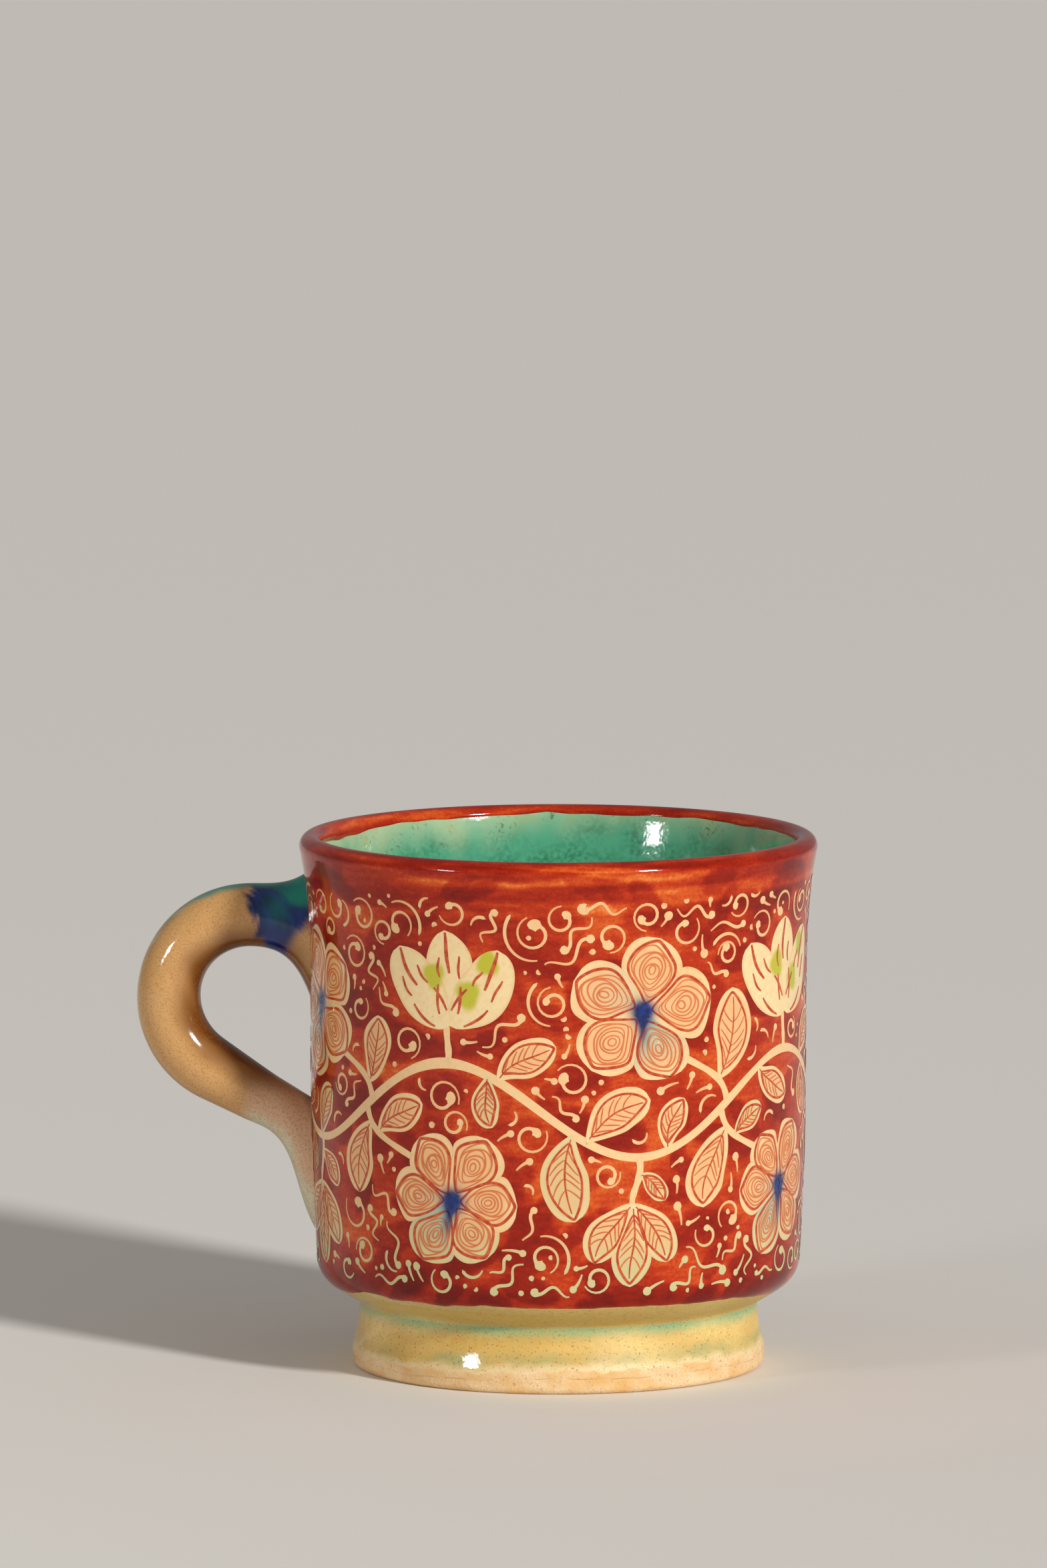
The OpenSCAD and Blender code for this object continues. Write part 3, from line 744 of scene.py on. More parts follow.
def brush(name, paths, halves, lift, material, slot, rails=2, margin=MARGIN, **tints):
    """One piece of flat brush marks: each is a thin closed body along its path, with rails across its top
    and an edge sunk in the ground. Neighbours lie a hair apart, so that they share no face where they
    overlap. Tints are values at the rails. Cells within the margin are marked taken, or none if it is 0."""
    across = np.linspace(-1, 1, rails)
    sunk = np.zeros(1) if rails == 2 else np.array([0.75, -0.75])
    flat = np.concatenate([across_paths(paths, halves, across), across_paths(paths, halves, sunk)], 2)
    marks, steps, ring = flat.shape[:3]
    layer = LAYER * (np.arange(marks) % LAYERS)[:, None, None]
    lifts = np.broadcast_to(np.repeat([lift, lift - SINK], [rails, len(sunk)]) + layer, flat.shape[:3])
    points = on_wall(flat[..., 0], flat[..., 1], lifts)
    first = (np.arange(marks) * steps * ring)[:, None]
    sides = (first[:, :, None] + grid_faces(steps, ring, False, True)[None]).reshape(-1, 4)
    starts = first + np.arange(ring)
    ends = first + (steps - 1) * ring + np.arange(ring)[::-1]
    values = {"across": np.broadcast_to(np.concatenate([across, sunk]), flat.shape[:3]),
              "cobalt": stain(flat[..., 0], flat[..., 1])}
    for tint, value in tints.items():
        value = np.broadcast_to(value, (marks, steps, rails))
        values[tint] = np.concatenate([value, value[..., -1:], value[..., :1]][:len(sunk) + 1], -1)
    if margin:
        fill = across_paths(paths, halves, np.linspace(-1, 1, 9))
        mark(taken, fill, margin)
        mark(painted, fill, PAINT_MARGIN)
    faces = sides.tolist() + starts.tolist() + ends.tolist()
    corners = np.concatenate([sides.ravel(), starts.ravel(), ends.ravel()])
    outward = np.full(len(corners), -1)
    outward[:sides.size] = np.repeat(np.where(np.arange(len(sides)) % ring < rails - 1, 1, -1), 4)
    normals = (on_wall(flat[..., 0], flat[..., 1], lifts + 1) - points).reshape(-1, 3)[corners]
    add_piece(name, points, material, (), values, faces, normals * outward[:, None])


CREAM = "#eed49e"
CREAM_EDGE = "#e6b075"
PEACH = "#e6a26a"
COPPER_TINT = "#7fb3a2"
LIME = "#bcb62c"
PALE_GREEN = "#b9bd86"
LINE_BLUSH = 0.35

# Warm off-white under a clear gloss, peach where the slip is thin and stained where other colours bled in.
cream_slip, place, at = new_material(
    "cream slip under clear glaze", ("across", "blush", "copper", "lime", "sage", "cobalt"))
from_middle = add_node(cream_slip, "Math", {0: at["across"]}, operation="ABSOLUTE")
at_edge = add_node(
    cream_slip, "MapRange", {0: from_middle, 1: 0.8, 2: 1.15}, interpolation_type="SMOOTHSTEP")
dabbed = add_node(cream_slip, "MapRange", {0: at["lime"], 1: 0.1, 2: 0.8}, interpolation_type="SMOOTHSTEP")
mottle = blotches(cream_slip, place, 0.9 * MM, 0.35, 0.75, 0.35, detail=4.0)
specks = blotches(cream_slip, place, 0.6 * MM, 0.7, 0.76, 0.4)
grains = blotches(cream_slip, place, 1.1 * MM, 0.35, 0.65, detail=4.0)
blue = laid(cream_slip, COBALT, (grains, COBALT_DEEP))
colour = laid(cream_slip, CREAM, (at["blush"], PEACH), (at_edge, CREAM_EDGE), (mottle, CREAM_EDGE),
              (at["sage"], PALE_GREEN), (at["copper"], COPPER_TINT), (dabbed, LIME), (specks, CLAY_GRIT),
              (at["cobalt"], blue))
glazed(cream_slip, place, colour, 0.012 * MM)


def cream(name, paths, halves, rails=2, **tints):
    """One piece of brush marks in cream slip."""
    brush(name, paths, halves, CREAM_LIFT, cream_slip, "cream_slip", rails, **tints)


def low_sage(paths):
    """Pale green that the copper below lends to brushwork near the shoulder."""
    return 0.75 * smoothstep(34, 19, paths[..., 1:])


stem_share = np.linspace(0, 1, STEM_STEPS)
stems = []
vine_turns = ((1, low_s, upper_flowers, BUD_STALK), (-1, high_s, lower_flowers, TULIP_STALK))
for way, turns_s, flowers, stalk in vine_turns:
    for s, flower in zip(turns_s, flowers):
        branch = s + way * BRANCH_SHARE * PERIOD
        stems.append(bezier([branch, vine_z(branch)], [branch - way, VINE_Z + 7 * way],
                            [branch - 7 * way, VINE_Z + 6 * way], flower - [0, STEM_GAP * way], stem_share))
        stems.append(bezier([s, vine_z(s)], *(np.add(bend, [s, 0]) for bend in stalk), stem_share))
stems = np.array(stems)
stem_half = np.tile(STEM_HALF - 0.15 * stem_share + 0.05 * np.cos(19 * stem_share), (len(stems), 1))
vine_s = np.linspace(-GIRTH / 2, GIRTH / 2, VINE_STEPS)
vine = np.stack([vine_s, vine_z(vine_s)], -1)[None]
vine_half = VINE_HALF + 0.13 * ripple(layout_rng, vine_s / WAIST_R, 0, 9, 9)[None]
cream("vine", vine, vine_half, blush=LINE_BLUSH, sage=low_sage(vine))
cream("flower_stems", stems, stem_half, blush=LINE_BLUSH, sage=low_sage(stems))


# Flowers
# Open flowers of five and six petals. Each petal is a full brush mark of cream slip with a warmer middle.
# One or two petals of a flower are tinted with copper, and a drop of cobalt is its heart.

# Middles, radius, number of petals and a petal's half width, for the flowers above the vine and below it.
FLOWER_KINDS = ((upper_flowers, 13.8, 5, 5.9), (lower_flowers, 12.6, 6, 4.7))
BLADE_ROWS = 30
PETAL_RAILS = 11
PETAL_BORDER = 1.2
HEART_GAP = 0.5
BLUSH_LEAST = 0.2
BLUSH_MORE = 0.5

blade_share = np.linspace(0, 1, BLADE_ROWS)


def blades(base, heading, length, half_width, bend, belly, tip):
    """Middle lines and half widths of petals or leaves. Each sets out from its base along its heading and
    bends, a little unsteadily. Its half width is share ^ belly * (1 - share ^ tip) ^ 0.6, scaled."""
    unsteady = 0.10 * np.sin(7 * blade_share + layout_rng.uniform(0, 6, (len(base), 1)))
    turned = heading[:, None] + bend[:, None] * (blade_share - 0.5) + unsteady
    steps = np.stack([np.cos(turned), np.sin(turned)], -1) * (length / (BLADE_ROWS - 1))[:, None, None]
    shape = blade_share ** belly * (1 - blade_share ** tip) ** 0.6
    swell = 1 + 0.05 * np.sin(9 * blade_share + layout_rng.uniform(0, 6, (len(base), 1)))
    halves = np.maximum(half_width[:, None] * (shape / shape.max() * swell), 0.1)
    return base[:, None] + np.cumsum(steps, 1) - steps[:, :1], halves


def on_blades(paths, halves, share, across):
    """Points of each blade at shares of its length and half width, the same for all or a row for each."""
    share, across = (np.broadcast_to(v, (len(paths), np.shape(v)[-1])) for v in (share, across))
    at = np.clip(share * (BLADE_ROWS - 1), 0, BLADE_ROWS - 1.001)
    blade, i, part = np.arange(len(paths))[:, None], at.astype(int), at % 1
    half = halves[blade, i] * (1 - part) + halves[blade, i + 1] * part
    middle = paths[blade, i] * (1 - part)[..., None] + paths[blade, i + 1] * part[..., None]
    return middle + (across * half)[..., None] * lefts(paths)[blade, i]


def middle_blush(halves, length, border, rails):
    """Blush of blades, more inside a border of that width in mm, measured from their sides and tips."""
    from_side = (1 - np.abs(np.linspace(-1, 1, rails))) * halves[..., None]
    from_tip = (1 - blade_share[:, None]) * length[:, None, None]
    inside = smoothstep(0.6 * border, 1.4 * border, np.minimum(from_side, 0.6 * from_tip))
    return BLUSH_LEAST + BLUSH_MORE * inside


petals = []
for flowers, radius, count, width in FLOWER_KINDS:
    for flower in flowers:
        heading = layout_rng.uniform(0, 2 * math.pi) + 2 * math.pi / count * np.arange(count)
        heading = heading + layout_rng.uniform(-0.07, 0.07, count)
        length = (radius - HEART_GAP) * layout_rng.uniform(0.9, 1.04, count)
        base = flower + HEART_GAP * np.stack([np.cos(heading), np.sin(heading)], -1)
        path, half = blades(base, heading, length, width * layout_rng.uniform(0.92, 1.04, count),
                            layout_rng.uniform(-0.25, 0.25, count), belly=0.75, tip=3.2)
        copper = np.zeros(count)
        copper[np.argmin(np.sin(heading))] = 0.75
        copper[np.argmin(np.cos(heading))] = 0.25
        petals.append((path, half, length, copper))
petal_paths, petal_halves, petal_lengths, petal_copper = (np.concatenate(v) for v in zip(*petals))
cream("petals", petal_paths, petal_halves, PETAL_RAILS,
      blush=middle_blush(petal_halves, petal_lengths, PETAL_BORDER, PETAL_RAILS),
      copper=petal_copper[:, None, None] * smoothstep(0.95, 0.15, blade_share[:, None]),
      sage=low_sage(petal_paths))


# Tulips
# Three-lobed tulips of plain cream slip stand on the high turns of the vine. They are laid with a full
# brush, slit with red, and dabbed with a yellow-green of copper.

# Heading in degrees, length, half width and bend of each lobe.
TULIP_LOBES = ((90, 17.0, 4.3, 0.0), (52, 16.66, 4.7, 0.75), (128, 16.66, 4.7, -0.75))
TULIP_ASIDE = 0.5
TULIP_Z = 64.5
TULIP_RAILS = 13
TULIP_DABS = ((3.4, 5.5), (-3.0, 8.5), (7.0, 11.0))
LIME_R = 2.1


def lobed(bases, lobes, unsteady):
    """Bases, headings, lengths, half widths and bends of the lobes at each base, with unsteady headings."""
    heading, length, half_width, bend = np.tile(lobes, (len(bases), 1)).T
    heading = np.radians(heading) + layout_rng.uniform(-unsteady, unsteady, len(heading))
    return np.repeat(bases, len(lobes), axis=0), heading, length, half_width, bend


tulip_bases = at_height(high_s + TULIP_ASIDE, TULIP_Z)
base, heading, length, half_width, bend = lobed(tulip_bases, TULIP_LOBES, 0.08)
length = length * layout_rng.uniform(0.95, 1.05, len(length))
lobe_paths, lobe_halves = blades(base, heading, length, half_width, bend, belly=0.55, tip=2.2)
lobe_points = across_paths(lobe_paths, lobe_halves, np.linspace(-1, 1, TULIP_RAILS))
lime = 0
for dab in np.concatenate([tulip_bases + offset for offset in TULIP_DABS]):
    aside, up = (lobe_points - dab)[..., 0], (lobe_points - dab)[..., 1]
    uneven = LIME_R * (1 + 0.12 * np.sin(3 * np.arctan2(up, aside) + dab[0]) + 0.08 * np.sin(0.4 * dab[0]))
    lime = lime + np.exp(-((aside ** 2 + (0.85 * up) ** 2) / uneven ** 2) ** 2)
cream("tulips", lobe_paths, lobe_halves, TULIP_RAILS, lime=np.clip(lime, 0, 1))


# Leaves and buds
# Pointed leaves of cream slip are set along the vine wherever there is room. A small drooping bud of three
# lobes hangs under each low turn. The slip is warmer in their middles, and some leaves lean to green.

BUD_LOBES = ((-90, 14.5, 3.5, 0.0), (-55, 12.5, 3.3, -0.6), (-125, 12.5, 3.3, 0.6))
BUD_ASIDE = -1
BUD_Z = 34.0
BUD_LENGTH = 13.0
BUD_BORDER = 1.0
LEAF_RAILS = 9
LEAF_TRIES = 2400
LEAF_SLIM = 0.27
LEAF_BEND = 0.7
LEAF_BORDER = 0.9
LEAF_LOW_Z = 20
LEAF_HIGH_Z = 84
LEAF_GAP = 0.3
LEAF_MARGIN = 0.5
STALK_JUMP = 3
STALK_CLEAR = 3.2

bud_bases = at_height(low_s + BUD_ASIDE, BUD_Z)
bud_paths, bud_halves = blades(*lobed(bud_bases, BUD_LOBES, 0.06), belly=0.7, tip=2.4)
bud_blush = middle_blush(bud_halves, np.full(len(bud_halves), BUD_LENGTH), BUD_BORDER, LEAF_RAILS)
cream("buds", bud_paths, bud_halves, LEAF_RAILS, blush=bud_blush, sage=low_sage(bud_paths))

stalks = np.concatenate([vine[0], stems.reshape(-1, 2)])
leaves = []
for attempt in range(LEAF_TRIES):
    k = layout_rng.integers(1, len(stalks) - 1)
    run = stalks[k + 1] - stalks[k - 1]
    side = layout_rng.choice([-1, 1])
    heading = np.array([math.atan2(run[1], run[0]) + side * layout_rng.uniform(0.6, 1.15)])
    length = np.array([layout_rng.uniform(14.5, 18.5) - 9.5 * attempt / LEAF_TRIES])
    path, half = blades(stalks[k][None], heading, length, LEAF_SLIM * length, np.array([-side * LEAF_BEND]),
                        belly=0.8, tip=1.7)
    between_stalks = np.hypot(*run) > STALK_JUMP
    if path[0, :, 1].max() > LEAF_HIGH_Z or path[0, :, 1].min() < LEAF_LOW_Z or between_stalks:
        continue
    room = across_paths(path, half + LEAF_GAP, np.linspace(-1, 1, 7))[0]
    clear = np.hypot(*(room - stalks[k]).T).T > STALK_CLEAR
    if is_free(room[clear]):
        mark(taken, room, LEAF_MARGIN)
        leaves.append((path, half, length))
leaf_paths, leaf_halves, leaf_lengths = (np.concatenate(v) for v in zip(*leaves))
leaf_sage = low_sage(leaf_paths) + layout_rng.choice([0, 0, 0.35], (len(leaf_paths), 1, 1))
cream("leaves", leaf_paths, leaf_halves, LEAF_RAILS, sage=np.clip(leaf_sage, 0, 0.85),
      blush=middle_blush(leaf_halves, leaf_lengths, LEAF_BORDER, LEAF_RAILS))


# Fine red lines
# With the tip of a small brush the painter draws thin lines of iron-red slip on the cream: outlines and rings
# inside the petals, ribs on the leaves, and slits on the tulips.

LINE_LIFT = 0.13
OUTLINE_STEPS = 60
RING_STEPS = 34
RIB_STEPS = 8
RING_SCALES = (0.66, 0.55, 0.44, 0.33, 0.22, 0.11)
RIB_STARTS = (0.18, 0.29, 0.40, 0.51, 0.62)
# Place across a tulip's lobe, start, end and half width of each slit.
TULIP_SLITS = ((0.0, 0.55, 0.98, 0.34), (0.45, 0.5, 0.72, 0.24), (-0.45, 0.5, 0.72, 0.24))
LINE_RED = "#b43612"
LINE_WORN = "#cf6231"
LINE_THIN = "#d97c45"

# The same iron red as the ground, orange where the line is thin or worn. The gloss runs on over it.
iron_line, place, at = new_material("iron-red line under clear glaze", ("thin", "cobalt"))
worn = blotches(iron_line, place, 1.1 * MM, 0.35, 0.75)
colour = laid(iron_line, LINE_RED, (worn, LINE_WORN), (at["thin"], LINE_THIN), (at["cobalt"], COBALT_DEEP))
glazed(iron_line, place, colour, 0.012 * MM)


def fine_lines(name, lines, thin):
    """One piece of fine lines with equal numbers of points, each group with its half width, thinner at both
    ends, all drawn with slip as thin as the share given."""
    swell = 0.6 + 0.4 * np.sin(np.linspace(0, math.pi, lines[0][0].shape[1]))
    halves = np.concatenate([np.broadcast_to(half * swell, points.shape[:2]) for points, half in lines])
    paths = np.concatenate([points for points, half in lines])
    brush(name, paths, halves, LINE_LIFT, iron_line, "red_slip", margin=0, thin=thin)


def loops(paths, halves, steps, scale, reach, loose):
    """A closed loop in each blade: an ellipse of its length and half width, drawn with an unsteady hand."""
    count = (len(paths), 1)
    loop_turn = np.linspace(0, 2 * math.pi, steps) + layout_rng.uniform(-0.2, 0.2, count)
    size = 1 + loose * np.sin(2 * loop_turn + layout_rng.uniform(0, 6, count))
    share = 0.54 + layout_rng.uniform(-0.02, 0.02, count) - reach * size * np.cos(loop_turn)
    return on_blades(paths, halves, share, scale * size * np.sin(loop_turn))


leaf_like = ((leaf_paths, leaf_halves), (bud_paths, bud_halves))
outlines = [(loops(petal_paths, petal_halves, OUTLINE_STEPS, 0.8, 0.43, 0.03), 0.27)]
outlines += [(loops(paths, halves, OUTLINE_STEPS, 0.72, 0.42, 0.03), 0.22) for paths, halves in leaf_like]
fine_lines("fine_outlines", outlines, 0.0)

line = np.linspace(0, 1, RING_STEPS)
petal_rings = [(loops(petal_paths, petal_halves, RING_STEPS, scale, 0.54 * scale, 0.1), 0.14)
               for scale in RING_SCALES]
fine_lines("fine_rings", petal_rings, 0.75)

slits = [(on_blades(paths, halves, 0.06 + 0.84 * line, 0.05 * np.sin(5 * line)), 0.16)
         for paths, halves in leaf_like]
for lobe_across, start, end, half in TULIP_SLITS:
    slit = start + (end - start) * line
    slits.append((on_blades(lobe_paths, lobe_halves, slit, lobe_across + 0.06 * np.sin(4 * line)), half))
for side in (-1, 1):
    slits.append((on_blades(lobe_paths, lobe_halves, 0.12 + 0.3 * line, side * (0.75 - 0.2 * line)), 0.26))
fine_lines("fine_slits", slits, 0.0)

ribs = []
line = np.linspace(0, 1, RIB_STEPS)
for paths, halves in leaf_like:
    for rib in RIB_STARTS:
        for side in (-1, 1):
            start = rib + layout_rng.uniform(-0.02, 0.02, (len(paths), 1))
            ribs.append((on_blades(paths, halves, start + 0.17 * line ** 1.4, side * 0.6 * line), 0.12))
fine_lines("fine_ribs", ribs, 0.45)


# Small strokes
# Curls, waves, commas and dots fill the ground between the flowers. Each starts with a drop of cream slip
# where the brush touches down, and thins as it lifts.

STROKE_STEPS = 26
STROKE_HALF = 0.31
STROKE_LEAST = 0.06
STROKE_TRIES = 14000
STROKE_LOW_Z = 17.8
STROKE_HIGH_Z = 86.5
DROP_SHARE = 0.17
DROP_STEPS = 8
ROOM_EVERY = 200
HANDLE_SEATS = ((61, 86), (21, 47))
SEAT_HALF = 5
SEAT_MARGIN = 1.5

stroke_rng = np.random.default_rng(17)
stroke_share = np.concatenate([np.linspace(0, DROP_SHARE, DROP_STEPS),
                               np.linspace(DROP_SHARE, 1, STROKE_STEPS - DROP_STEPS + 1)[1:]])


def polar(radius, angle):
    """Points at distances and angles from a middle."""
    return np.stack([radius * np.cos(angle), radius * np.sin(angle)], -1)


def curl(rng):
    """A spiral that opens from its drop through about one turn."""
    angle = 2 * math.pi * rng.uniform(0.85, 1.35) * stroke_share
    return polar(0.9 + rng.uniform(1.2, 2.0) * stroke_share ** 0.85, angle)


def wave(rng):
    """A level line with two or three bends."""
    swing = rng.uniform(0.6, 1.0) * np.sin(2 * math.pi * rng.uniform(1.1, 1.7) * stroke_share)
    return np.stack([rng.uniform(5.5, 8.5) * (stroke_share - 0.5), swing], -1)


def comma(rng):
    """A short tail that bends away from its drop."""
    return np.stack([rng.uniform(2.6, 4.2) * stroke_share, rng.uniform(1.0, 2.2) * stroke_share ** 2], -1)


def crescent(rng):
    """Part of a circle."""
    angle = rng.uniform(1.9, 2.9) * (stroke_share - 0.5)
    return polar(rng.uniform(1.6, 2.8), angle)


def dot(rng):
    """A single touch of the brush."""
    return np.stack([rng.uniform(0.9, 1.4) * stroke_share, 0.1 * stroke_share], -1)


def stroke_half(path, drop):
    """Half widths of a stroke: a round drop at its start, then a line that thins towards its end."""
    gone = np.concatenate([[0], np.cumsum(np.linalg.norm(np.diff(path, axis=0), axis=1))])
    line = STROKE_HALF * (1 - 0.55 * stroke_share ** 2)
    head = np.sqrt(np.clip(drop ** 2 - (gone - drop) ** 2, 0, None))
    line = line * smoothstep(0, 0.5, gone)
    return np.maximum(np.maximum(line, head), STROKE_LEAST)


handle_seat = np.array([-math.pi / 2 * WAIST_R, 0])
root_lines = [np.stack([np.full(30, a), np.linspace(low, high, 30)], -1) + handle_seat
              for low, high in HANDLE_SEATS for a in np.linspace(-SEAT_HALF, SEAT_HALF, 9)]
mark(taken, np.concatenate(root_lines), SEAT_MARGIN)
row_z = FIELD_LOW + CELL * np.arange(FIELD_ROWS)
taken[(row_z < STROKE_LOW_Z) | (row_z > STROKE_HIGH_Z)] = True
# The radius of each kind's drop, and the kinds' odds in that order: long strokes first, small ones last.
kinds = {curl: 0.72, wave: 0.72, comma: 0.75, crescent: 0.0, dot: 0.65}
odds = {"early": [0.65, 0.35, 0.0, 0.0, 0.0], "later": [0.35, 0.3, 0.2, 0.15, 0.0],
        "last": [0.0, 0.0, 0.4, 0.3, 0.3]}
strokes = []


def lay(path, half):
    """Keeps a stroke if its place is free, and says whether it was."""
    free = is_free(across_paths(path, half, np.linspace(-1, 1, 3)))
    if free:
        mark(taken, path, MARGIN)
        strokes.append((path, half))
    return free


for attempt in range(STROKE_TRIES):
    stage = "early" if attempt < 0.4 * STROKE_TRIES else "later" if attempt < 0.85 * STROKE_TRIES else "last"
    kind = list(kinds)[stroke_rng.choice(len(kinds), p=odds[stage])]
    size = stroke_rng.uniform(0.95, 1.4) * (1 - 0.4 * attempt / STROKE_TRIES)
    if attempt % ROOM_EVERY == 0:
        room = np.argwhere(~taken)
    way = stroke_rng.choice([-1, 1])
    shape = kind(stroke_rng) * [1, way] * size
    lean = stroke_rng.uniform(0, 2 * math.pi)
    turned_shape = shape @ np.array([[math.cos(lean), math.sin(lean)], [-math.sin(lean), math.cos(lean)]])
    row, column = room[stroke_rng.integers(len(room))]
    middle = np.array([wrapped(column * CELL), row_z[row]]) - turned_shape.mean(0)
    half = stroke_half(middle + turned_shape, kinds[kind] * stroke_rng.uniform(0.85, 1.15) * size)
    if lay(middle + turned_shape, half) and kind is curl:
        last = turned_shape[-1]
        echo = math.atan2(last[1], last[0]) - way * (0.5 + 2.4 * stroke_share)
        arc = middle + polar(np.linalg.norm(last) + 1.5 * size - 0.5 * stroke_share, echo)
        lay(arc, stroke_half(arc, 0.0))
stroke_paths, stroke_halves = (np.array(v) for v in zip(*strokes))
cream("small_strokes", stroke_paths, stroke_halves, blush=(0.4 + 0.6 * stroke_share)[:, None],
      sage=low_sage(stroke_paths))


# Red ground
# Iron-red slip, laid round the cream with a small soft brush. Where the brush was full it is oxblood. Where
# it was dry, along the cream's edges and under the lip, it is thin and orange. Clear glaze covers it all.

GROUND_TURNS = 612
GROUND_ROWS = 152
GROUND_LIFT = 0.06
GROUND_UNDER = 10
GROUND_TOP = 1.2
BRUSH_MARKS = 520
RED_STOPS = ((0.0, "#4c0802"), (0.32, "#741004"), (0.54, "#951c06"),
             (0.74, "#b7330f"), (0.9, "#d2591e"), (1.0, "#e27e3c"))
# Bristles draw finer lines than this. They are drawn coarser so that they show.
BRISTLE_SIZE = 2.4 * MM
BRISTLE_SQUASH = 3
# Clear glaze is partly sunk in this slip and mirrors less than over clay.
SLIP_IOR = 1.35

ground_rng = np.random.default_rng(41)
field_s = (np.arange(COLUMNS) * CELL)[None, :]
field_z = (FIELD_LOW + np.arange(FIELD_ROWS) * CELL)[:, None]
field_turn = field_s / WAIST_R


def blurred(field, width):
    """A field of the unrolled wall spread by a bell curve of that width, by way of its waves."""
    waves_s = np.fft.fftfreq(COLUMNS, CELL)[None, :]
    waves_z = np.fft.fftfreq(FIELD_ROWS, CELL)[:, None]
    bell = np.exp(-2 * (math.pi * width) ** 2 * (waves_s ** 2 + waves_z ** 2))
    return np.fft.ifft2(np.fft.fft2(field) * bell).real


def sampled(field, s, z):
    """A field of the unrolled wall at places between its cells, by linear steps."""
    column, row = (s / CELL) % COLUMNS, np.clip((z - FIELD_LOW) / CELL, 0, FIELD_ROWS - 1.001)
    i, j = column.astype(int), row.astype(int)
    a, b = column - i, row - j
    nearest, after = i % COLUMNS, (i + 1) % COLUMNS
    low = field[j, nearest] * (1 - a) + field[j, after] * a
    high = field[j + 1, nearest] * (1 - a) + field[j + 1, after] * a
    return low * (1 - b) + high * b


# The wash is how thin the slip lies: 0 is oxblood and 1 is orange. It also carries painted light and shade:
# lighter to the right, darker to the left and under the shoulder.
patches = ripple(ground_rng, field_turn, field_z, 15, 9)
edge_line = blurred(painted, 0.4)
edge_wide = blurred(painted, 1.8)
bristles = ripple(ground_rng, field_turn, field_z, 7, 0.7)
loaded = 0.3 * smoothstep(0.1, 0.5, edge_wide)
loaded = loaded * np.clip(0.5 + ripple(ground_rng, field_turn, field_z, 12, 9), 0, 1)
for mark_s, mark_z, heading, long, wide, load in zip(
        ground_rng.uniform(0, GIRTH, BRUSH_MARKS), ground_rng.uniform(14, 90, BRUSH_MARKS),
        ground_rng.normal(0, 0.5, BRUSH_MARKS), ground_rng.uniform(3, 7, BRUSH_MARKS),
        ground_rng.uniform(1.2, 2.8, BRUSH_MARKS), ground_rng.uniform(0.25, 0.75, BRUSH_MARKS)):
    rows = np.abs(field_z[:, 0] - mark_z) < long
    aside, up = wrapped(field_s - mark_s), field_z[rows] - mark_z
    along_mark = (aside * math.cos(heading) + up * math.sin(heading)) / long
    over_mark = (up * math.cos(heading) - aside * math.sin(heading)) / wide + 0.12 * bristles[rows]
    mark_load = load * smoothstep(1.12, 0.88, np.sqrt(along_mark ** 2 + over_mark ** 2))
    loaded[rows] = 1 - (1 - loaded[rows]) * (1 - mark_load * (1 + 0.15 * bristles[rows]))
# Painted light and shade: the sine of the turn makes the red lighter on the right and darker on the left.
wash_and_shade = 0.665 + 0.07 * patches + 0.04 * np.sin(field_turn) - 0.4 * loaded + 0.03 * bristles
wash_and_shade += 0.12 * edge_line * np.clip(0.4 + 0.8 * ripple(ground_rng, field_turn, field_z, 9, 6), -0.4, 1.2)
streaks = ripple(ground_rng, field_turn, field_z, 34, 1.5)
wash_and_shade += 0.24 * smoothstep(80, 87, field_z) * np.clip(-0.5 + 1.5 * streaks, -0.75, 0.4)
wash_and_shade += 0.08 * smoothstep(86, 90, field_z) * np.clip(np.cos(field_turn - 0.2), 0, 1) ** 2
# Painted shade: the red darkens towards the foot, where the wall turns under to the shoulder.
wash_and_shade -= 0.2 * smoothstep(22, 17, field_z)

ground_turn = np.linspace(-math.pi, math.pi, GROUND_TURNS, endpoint=False)
slip_edge = SLIP_EDGE_Z - 1.2 * smoothstep(0.72, 0.97, np.abs(np.sin(ground_turn)))
long_waver = 0.25 * ripple(ground_rng, ground_turn, 0, 11, 9)
slip_edge += long_waver + 0.12 * ripple(ground_rng, ground_turn, 0, 3, 9)
ground_points, ground_angle, ground_reach, ground_z = coat(
    reach_of(slip_edge), np.full(GROUND_TURNS, lip_reach - GROUND_TOP), GROUND_ROWS, GROUND_LIFT,
    under_rows=GROUND_UNDER)
ground_s = ground_angle * WAIST_R
ground_wash_and_shade = sampled(wash_and_shade, ground_s, ground_z)
ground_wash_and_shade += 0.35 * np.exp(-np.clip(ground_reach - reach_of(slip_edge)[:, None], 0, None) / 0.35)
ground_values = {"wash_and_shade": ground_wash_and_shade, "cobalt": stain(ground_s, ground_z)}

# The eye sees brush marks from orange to oxblood, streaked by bristles, deep under a clear gloss, with
# painted light on the right and painted shade on the left and under the shoulder.
red_slip, place, at = new_material("iron-red slip under clear glaze", ground_values)
grain = blotches(red_slip, place, 0.5 * MM, 0.2, 0.8, detail=4.0)
level = add_node(red_slip, "Mapping", {"Vector": place, "Scale": (1, 1, BRISTLE_SQUASH)})
bristled = blotches(red_slip, level, BRISTLE_SIZE, 0.25, 0.75, detail=4.0)
thinness = add_node(red_slip, "Math", {0: grain, 1: 0.12, 2: at["wash_and_shade"]}, operation="MULTIPLY_ADD")
thinness = add_node(red_slip, "Math", {0: bristled, 1: 0.1, 2: thinness}, operation="MULTIPLY_ADD")
red = add_node(red_slip, "ValToRGB", {0: thinness}, stops=RED_STOPS)
glazed(red_slip, place, laid(red_slip, red, (at["cobalt"], COBALT)), 0.015 * MM, SLIP_IOR)
add_piece("red_ground", ground_points, red_slip, ["outer_slip"], ground_values)


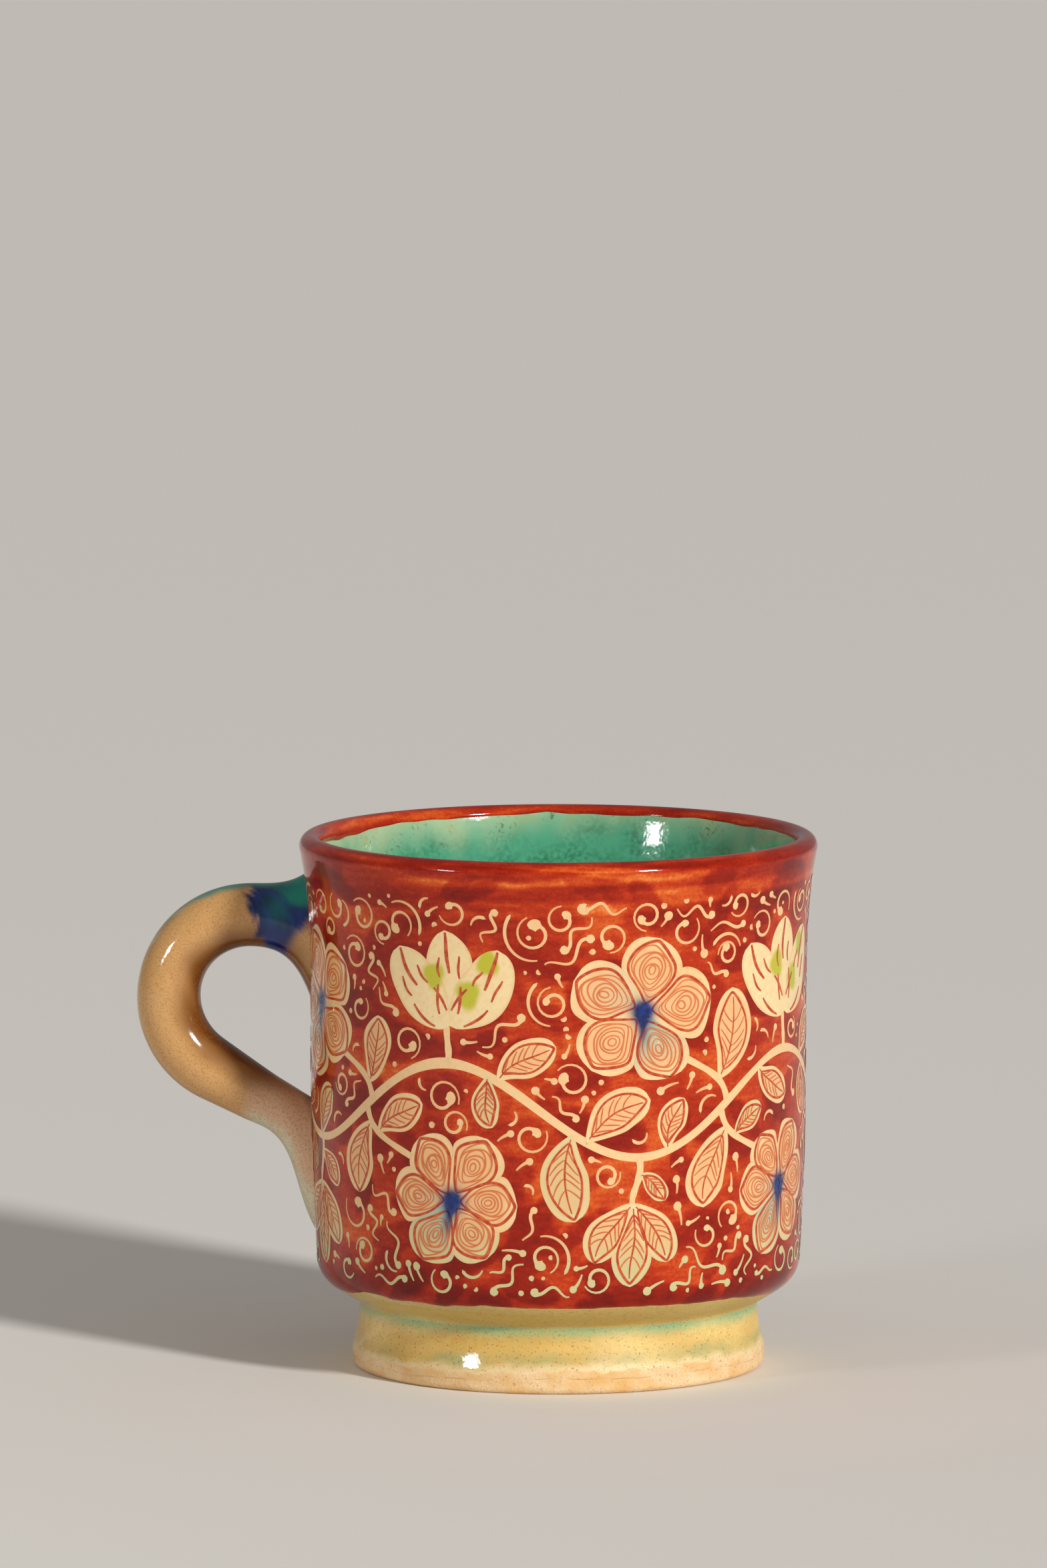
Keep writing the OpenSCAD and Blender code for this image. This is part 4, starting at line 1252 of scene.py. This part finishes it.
# Lip band
# A last stroke of the same red slip, drawn over the lip with a soft brush while the mug turns on the wheel.
# Outside it fades into the ground, and inside its edge wavers on the green.

BAND_ROWS = 90
BAND_UNDER = 16
BAND_LIFT = 0.07
BAND_EDGE = 4.0
BAND_END = 0.8
BAND_DROP = 4.6
BAND_INSIDE = 3.0

band_rng = np.random.default_rng(53)
band_out = lip_z - BAND_DROP + 0.5 * ripple(band_rng, turn, 0, 20, 9) + 0.2 * ripple(band_rng, turn, 0, 4, 9)
band_in = BAND_INSIDE - 0.4 * np.cos(2 * turn) - 0.25 * np.sin(turn)
band_in += 0.6 * ripple(band_rng, turn, 0, 26, 9)
band_in += 0.12 * ripple(band_rng, turn, 0, 4, 9)
band_points, band_angle, band_reach, band_z = coat(
    reach_of(band_out), lip_reach + np.clip(band_in, 1.7, 5.1), BAND_ROWS, BAND_LIFT,
    (BAND_EDGE, BAND_END), BAND_UNDER)
front = np.clip(np.cos(band_angle - 0.15), 0, 1) ** 2
over_lip = band_reach - lip_reach
dry = smoothstep(0.0, 0.3, ripple(band_rng, band_angle, band_reach, 22, 2.4))
band_wash_and_shade = 0.41 + (0.02 + 0.27 * dry) * front * np.exp(-((over_lip + 2.2) / 1.5) ** 2)
long_streaks = 0.16 * ripple(band_rng, band_angle, band_reach, 30, 1.6)
band_wash_and_shade += long_streaks + 0.08 * ripple(band_rng, band_angle, band_reach, 6, 1.2)
band_wash_and_shade += 0.08 * np.exp(-np.abs(over_lip - band_in[:, None] + 0.8) / 0.5)
own = smoothstep(0.85, 1.3, (band_reach - reach_of(band_out)[:, None]) / BAND_EDGE)
band_wash_and_shade = own * band_wash_and_shade + (1 - own) * sampled(wash_and_shade, band_angle * WAIST_R, np.minimum(band_z, lip_z))
band_values = {"wash_and_shade": band_wash_and_shade, "cobalt": 0 * band_wash_and_shade}
add_piece("lip_band", band_points, red_slip, ["rim_band"], band_values)


# Floor, light and camera
# The mug stands on a plain pale table. A soft lamp shines from the right and a weaker one from the left,
# and a long lens looks from a little above the rim.

TABLE = "#ece7df"
TABLE_HALF = 12
TABLE_ROUGH = 0.9

# Matt paint with a fine grain: it takes soft shadows and mirrors nothing.
table_paint, place, _ = new_material("matt pale table")
grain = blotches(table_paint, place, 2 * MM, 0.2, 0.8)
fire(table_paint, linear(TABLE), TABLE_ROUGH, grain, 0.01 * MM)
table_mesh = bpy.data.meshes.new("table")
table_corners = [(TABLE_HALF * i, TABLE_HALF * j, 0) for i, j in ((-1, -1), (1, -1), (1, 1), (-1, 1))]
table_mesh.from_pydata(table_corners, [], [(0, 1, 2, 3)])
table_mesh.materials.append(table_paint)
add_object("table", table_mesh)

VIEW_AZIMUTH = math.radians(4.0)
VIEW_ELEVATION = math.radians(6.58)
VIEW_DISTANCE = 2.26
VIEW_FOCAL_PX = 19500
FRAME_HEIGHT_PX = 2349
SENSOR_MM = 36
AIM_LEFT = 6.05 * MM
AIM_HEIGHT = 101.6 * MM


def towards(azimuth, elevation):
    """The direction from the mug to a place at an azimuth from the front and an elevation."""
    level = math.cos(elevation)
    return Vector((math.sin(azimuth) * level, -math.cos(azimuth) * level, math.sin(elevation)))


camera = add_object("camera", bpy.data.cameras.new("camera"))
camera.data.sensor_width = SENSOR_MM
camera.data.lens = VIEW_FOCAL_PX / FRAME_HEIGHT_PX * SENSOR_MM
back = towards(VIEW_AZIMUTH, VIEW_ELEVATION)
aim = Vector((-AIM_LEFT * math.cos(VIEW_AZIMUTH), -AIM_LEFT * math.sin(VIEW_AZIMUTH), AIM_HEIGHT))
camera.location = aim + VIEW_DISTANCE * back
camera.rotation_euler = (-back).to_track_quat("-Z", "Y").to_euler()
bpy.context.scene.camera = camera

KEY_STRENGTH = 2.9
KEY_ANGLE = math.radians(6.5)
FILL_WATTS = 1.8
FILL_SIZE = (0.14, 0.1)
MUG_MIDDLE = Vector((0, 0, 0.05))
to_key = towards(math.radians(46), math.radians(23))
to_fill = towards(math.radians(-46.6), math.radians(14))
key = add_object("key softbox", bpy.data.lights.new("key softbox", "SUN"))
key.data.energy = KEY_STRENGTH
key.data.angle = KEY_ANGLE
key.rotation_euler = to_key.to_track_quat("Z", "Y").to_euler()
fill = add_object("fill softbox", bpy.data.lights.new("fill softbox", "AREA"))
fill.data.shape = "RECTANGLE"
fill.data.size, fill.data.size_y = FILL_SIZE
fill.data.energy = FILL_WATTS
fill.location = MUG_MIDDLE + to_fill
fill.rotation_euler = to_fill.to_track_quat("Z", "Y").to_euler()

SKY = "#e6e4e2"
SKY_STRENGTH = 0.34
world = bpy.data.worlds.new("studio")
bpy.context.scene.world = world
world.use_nodes = True
world.node_tree.nodes["Background"].inputs["Color"].default_value = linear(SKY)
world.node_tree.nodes["Background"].inputs["Strength"].default_value = SKY_STRENGTH
bpy.context.scene.view_settings.view_transform = "Standard"
